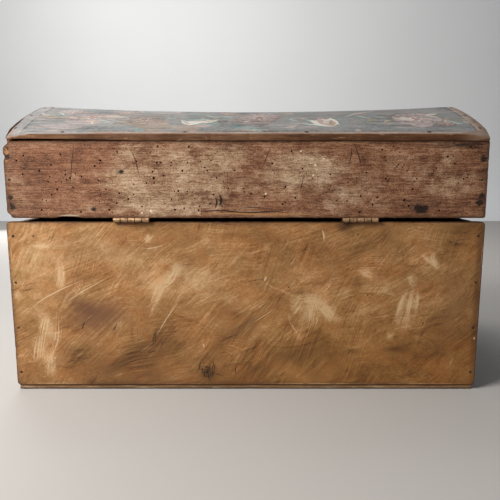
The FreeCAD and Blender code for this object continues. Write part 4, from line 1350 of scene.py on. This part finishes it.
brush.spray(-198, 50, 29, 0.15, LILAC, BLUSH, ROSE)
brush.leaf(-196, 46, 0.3, 24, CHALK)
brush.leaf(-214, 66, 2.6, 20, CHALK)
brush.leaf(62, 26, 1.0, 24, CHALK)
brush.leaf(58, 24, 3.1, 22, BLUSH)
build_painted(brush, "painted_back_stave", "top_back_stave", "lid", *TOP_WEAR)

brush = slope_stave(seed=12.0, side=-1, brush_seed=22)
STAVE_SPRAYS = ((-196, 30, ROSE), (-100, 22, BLUSH), (-4, 30, BLUSH), (96, 22, OCHRE), (190, 30, ROSE))
for place, size, tint in STAVE_SPRAYS:
    brush.spray(place, 62, size, 0.12, tint, CHALK if tint == BLUSH else BLUSH, CRIMSON)
build_painted(brush, "painted_front_stave", "top_front_stave", "lid", *TOP_WEAR)

sheet = rectangle(STAVE_LEFT, STAVE_RIGHT, -CROWN_HALF, CROWN_HALF)
crown = Panel(sheet, crown_place, STAVE_DEPTH, wear=0.3, seed=13.0)
for x in STAVE_NAIL_X:
    for y in CROWN_NAILS:
        crown.nail(x, y)
field = rectangle(FIELD_LEFT, FIELD_RIGHT, -CROWN_HALF - 2, CROWN_HALF + 2)
brush = framed(crown, field, seed=23, smears=90)
CROWN_SPRAYS = (
    (-205, 20, OCHRE), (-125, 27, ROSE), (-40, 24, BLUSH), (46, 27, ROSE), (128, 22, BLUSH), (205, 20, OCHRE),
)
for place, size, tint in CROWN_SPRAYS:
    brush.spray(place, brush.some(-8, 8), size, brush.some(-0.3, 0.3), tint, CHALK, CRIMSON)
build_painted(brush, "painted_crown_stave", "top_crown_stave", "lid", ((0, 0, 120, 30, 0, 0.12),))

# Front and ends


def keyhole_loop():
    """Round above, with a slot below."""
    lean = math.asin(KEYHOLE_SLOT / KEYHOLE_RADIUS)
    foot_z = KEYHOLE_Z - KEYHOLE_FOOT + KEYHOLE_SLOT
    loop = []
    for i in range(17):
        t = lean - math.pi / 2 + (2 * math.pi - 2 * lean) * i / 16
        loop.append((KEYHOLE_RADIUS * math.cos(t), KEYHOLE_Z + KEYHOLE_RADIUS * math.sin(t)))
    for t in np.linspace(math.pi, 2 * math.pi, 7):
        loop.append((KEYHOLE_SLOT * math.cos(t), foot_z + KEYHOLE_SLOT * math.sin(t)))
    return loop


front = Panel(
    rectangle(-HALF_LENGTH, HALF_LENGTH, BASE_FOOT, FRONT_TOP), wall_place(-1, HALF_DEPTH), BOARD,
    wear=0.4, seed=14.0, arris=0.9, round_off=2,
)
front.pit(keyhole_loop(), None)
front.corner_nails(BASE_NAIL_HEIGHTS)
brush = framed(front, rectangle(-243, 243, 25, 178), seed=24, smears=110)
for middle in (-128, 128):
    brush.stem([(middle, 34), (middle - 4, 60), (middle + 3, 96)], 2.4)
    brush.spray(middle, 104, 34, 0.05, ROSE, BLUSH, CRIMSON)
    brush.spray(middle - 58, 62, 20, 0.5, BLUSH, CHALK, ROSE)
    brush.spray(middle + 58, 62, 20, -0.5, OCHRE, CHALK, CRIMSON)
    brush.tulip(middle - 44, 132, 2.0, 30, BLUSH, CHALK)
    brush.tulip(middle + 44, 132, 1.1, 30, OCHRE, CHALK)
    brush.tuft(middle, 40, 36)
brush.tulip(0, 50, 1.57, 44, BLUSH, ROSE)
brush.leaf(2, 50, 0.6, 34, TEAL)
brush.leaf(-2, 50, 2.54, 34, TEAL)
brush.blossom(0, 120, 15, 6, ROSE, BLUSH, OCHRE)
FRONT_RUBS = (
    (0, 198, 300, 4, 0, 0.3), (0, 165, 26, 20, 0, 0.3), (0, 6, 300, 6, 0, 0.3), (180, 50, 40, 20, 20, 0.15),
    (-150, 150, 50, 20, 10, 0.12),
)
build_painted(
    brush, "painted_base_front", "base_front_board", "base", FRONT_RUBS, ((0, 6, 300, 5, 0, 0.5),),
    ((0, 100, 280, 90, 0, 0.35),),
)

lower_end = [(-INNER_DEPTH, BASE_FOOT), (INNER_DEPTH, BASE_FOOT)]
lower_end += [(INNER_DEPTH, END_TOP), (-INNER_DEPTH, FRONT_TOP)]
LOWER_END_SOIL = ((0, 6, 200, 5, 0, 0.5),)
LOWER_END_RUBS = ((0, 196, 200, 5, 0, 0.3), (0, 100, 60, 20, 0, 0.12), (90, 150, 40, 16, 30, 0.15))
for side, word, tints in ((-1, "left", (ROSE, BLUSH, OCHRE)), (1, "right", (BLUSH, OCHRE, ROSE))):
    end = Panel(lower_end, end_place(side), BOARD, wear=0.25, seed=15.0 + side, arris=0.7)
    brush = framed(end, rectangle(-130, 130, 25, 176), seed=25 + side, smears=70)
    brush.stem([(0, 36), (4, 66), (-2, 100)], 2.4)
    brush.spray(0, 106, 36, 0.08 * side, tints[0], CHALK, CRIMSON)
    brush.spray(-66, 66, 22, 0.6, tints[1], CHALK, ROSE)
    brush.spray(66, 66, 22, -0.6, tints[2], BLUSH, CRIMSON)
    brush.tulip(-50, 138, 2.1, 30, BLUSH, CHALK)
    brush.tulip(50, 138, 1.0, 30, TEAL, CHALK)
    brush.tuft(0, 42, 38)
    names = (f"painted_base_{word}_end", f"base_{word}_end")
    build_painted(brush, *names, "base", LOWER_END_RUBS, LOWER_END_SOIL)

lid_front = Panel(
    rectangle(-HALF_LENGTH, HALF_LENGTH, LID_FOOT, LID_EDGE), lid_wall_place(-1), BOARD,
    wear=0.4, seed=18.0, arris=0.9,
)
lid_front.corner_nails(LID_NAIL_HEIGHTS)
brush = framed(lid_front, rectangle(-243, 243, 213, 270), seed=28, smears=60)
LID_SPRAYS = ((-190, 20, BLUSH), (-96, 22, ROSE), (0, 24, BLUSH), (96, 22, ROSE), (190, 20, OCHRE))
for place, size, tint in LID_SPRAYS:
    brush.spray(place, 242, size, brush.some(-0.2, 0.2), tint, CHALK, CRIMSON)
LID_FRONT_RUBS = ((0, 200, 300, 4, 0, 0.3), (40, 240, 60, 20, 0, 0.12))
build_painted(brush, "painted_lid_front", "lid_front_board", "lid", LID_FRONT_RUBS)

slope = [(float(y), slope_z(float(y))) for y in np.linspace(INNER_DEPTH, JOINT_Y, 16)]
crest = [(float(y), crown_z(float(y))) for y in np.linspace(CROWN_HALF, -CROWN_HALF, 13)]
arched_top = slope + crest + [(-y, z) for y, z in slope[::-1]]
upper_end = [(-INNER_DEPTH, LID_FOOT), (INNER_DEPTH, LID_FOOT)] + arched_top
upper_field = [(-131, 214), (131, 214)] + [(y * 0.86, z - 17) for y, z in arched_top if abs(y) < INNER_DEPTH]
UPPER_END_RUBS = ((0, 200, 200, 4, 0, 0.3), (30, 260, 50, 20, 0, 0.12))
for side, word, tint in ((-1, "left", BLUSH), (1, "right", ROSE)):
    end = Panel(upper_end, end_place(side), BOARD, wear=0.2, seed=19.0 + side, arris=0.7, round_off=0)
    brush = framed(end, upper_field, seed=30 + side, smears=50)
    brush.spray(0, 262, 28, 0.05, tint, CHALK, CRIMSON)
    brush.spray(-78, 240, 18, 0.2, ROSE, BLUSH, OCHRE)
    brush.spray(78, 240, 18, -0.2, OCHRE, BLUSH, CRIMSON)
    build_painted(brush, f"painted_lid_{word}_end", f"lid_{word}_end", "lid", UPPER_END_RUBS)

# Bottom and keyhole plate

unmarked = marked((), (), ())
half_x, half_y = HALF_LENGTH - BOTTOM_INSET, HALF_DEPTH - BOTTOM_INSET
bottom = Panel(
    rectangle(-half_x, half_x, -half_y, half_y), lambda u, v, w: Vector((u, v, -min(w, 0.0))),
    BASE_FOOT, wear=0.4, seed=31.0, round_off=2, grid=12.0,
)
under_nails = [(x, side * BOTTOM_NAIL_Y) for x in BOTTOM_LONG_NAILS for side in (-1, 1)]
under_nails += [(side * BOTTOM_NAIL_X, y) for y in BOTTOM_SHORT_NAILS for side in (-1, 1)]
for x, y in under_nails:
    bottom.pit(ring_of(x, y, BOTTOM_PIT_RADIUS, 7, uneven=True), NAIL_PIT_DEPTH)
bottom_woods = (INSIDE_WOOD, FOOT_WOOD, INSIDE_WOOD)
bottom.build("worn_bottom", "bottom_board", "base", "bare_wood", bottom_woods, unmarked)

plate_side = [(0, -21), (7, -15), (11, -5), (13, 4), (11, 12), (5, 12), (0, 16)]
plate_side += [(-u, v) for u, v in plate_side[-2:0:-1]]
keyhole_plate = Panel(
    [(u, KEYHOLE_Z + v) for u, v in plate_side], wall_place(-1, HALF_DEPTH + PLATE_DEPTH),
    PLATE_DEPTH, wear=0.2, seed=33.0, arris=0.25, round_off=2, step=1.6, grid=2.5,
)
keyhole_plate.pit(keyhole_loop(), None)
keyhole_plate.build("keyhole_plate", None, "base", "forged_iron", (IRON, IRON, IRON), unmarked)

# Camera, placed in metres

CAMERA_PLACE, CAMERA_DIP = (-0.0047, 0.7278, 0.243), 7.98
camera = placed("camera", bpy.data.cameras.new("camera"))
camera.location = CAMERA_PLACE
camera.rotation_euler = (math.radians(90 - CAMERA_DIP), 0.0, math.radians(180))
camera.data.lens = 36.91
camera.data.sensor_width = 36.0
camera.data.clip_start = 0.01
bpy.context.scene.camera = camera

# Floor, backdrop and light, placed in metres

STAGE_HALF, STAGE_NEAR, STAGE_FAR, STAGE_TOP, BEND = 5.0, 5.0, -2.7, 3.5, 0.5


def pale_paint(name, colour):
    s = Shade(name, roughness=0.85)
    cloud = s.noise((600.0, 600.0, 600.0), 3.0)
    s.colour = s.ramp(cloud, (0.3, [c * 0.97 for c in colour]), (0.7, colour))
    return s.surface()


def sweep(name, profile, material):
    """A sheet that runs along X with the given (y, z) profile."""
    points = [(x, y, z) for y, z in profile for x in (-STAGE_HALF, STAGE_HALF)]
    faces = [(2 * i, 2 * i + 1, 2 * i + 3, 2 * i + 2) for i in range(len(profile) - 1)]
    mesh = bpy.data.meshes.new(name)
    mesh.from_pydata(points, [], faces)
    mesh.materials.append(material)
    mesh.shade_smooth()
    sheet = placed(name, mesh)


def area_light(name, place, aim, size, power, colour):
    data = bpy.data.lights.new(name, "AREA")
    data.shape = "RECTANGLE"
    data.size, data.size_y = size
    data.energy = power
    data.color = colour
    light = placed(name, data)
    light.location = place
    light.rotation_euler = (Vector(aim) - Vector(place)).to_track_quat("-Z", "Y").to_euler()
    light.visible_camera = False


bend = [
    (STAGE_FAR + BEND - BEND * math.sin(t), BEND - BEND * math.cos(t)) for t in np.linspace(0, math.pi / 2, 9)
]
sweep("floor", [(STAGE_NEAR, 0.0), bend[0]], pale_paint("pale_floor", (0.36, 0.34, 0.32)))
sweep("backdrop", [*bend, (STAGE_FAR, STAGE_TOP)], pale_paint("pale_backdrop", (0.72, 0.72, 0.715)))
area_light("window_light", (0.76, 0.58, 0.88), (0.05, 0.12, 0.15), (0.5, 0.5), 22.0, (1.0, 0.985, 0.96))
area_light("ceiling_light", (0.6, -0.2, 2.2), (0.0, 0.0, 0.2), (1.6, 1.6), 7.0, (1.0, 1.0, 1.0))
area_light("far_fill", (0.9, -1.7, 0.6), (0.0, 0.0, 0.15), (1.2, 1.0), 16.0, (1.0, 0.99, 0.97))
area_light("backdrop_light", (0.9, -0.9, 1.8), (-0.4, -2.7, 0.8), (1.6, 1.6), 40.0, (1.0, 1.0, 1.0))
world = bpy.data.worlds.new("soft_world")
bpy.context.scene.world = world
world.use_nodes = True
background = world.node_tree.nodes["Background"]
background.inputs["Color"].default_value = (0.92, 0.95, 1.0, 1.0)
background.inputs["Strength"].default_value = 0.26
bpy.context.scene.view_settings.view_transform = "Standard"

# Metal

for node_name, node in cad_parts.items():
    if node.hide_render:
        continue
    metal = IRON
    if node_name.startswith("hinge"):
        metal = BRASS
    elif node_name.endswith("nails"):
        metal = NAIL_IRON
    node.data.materials.clear()
    node.data.materials.append(metal)
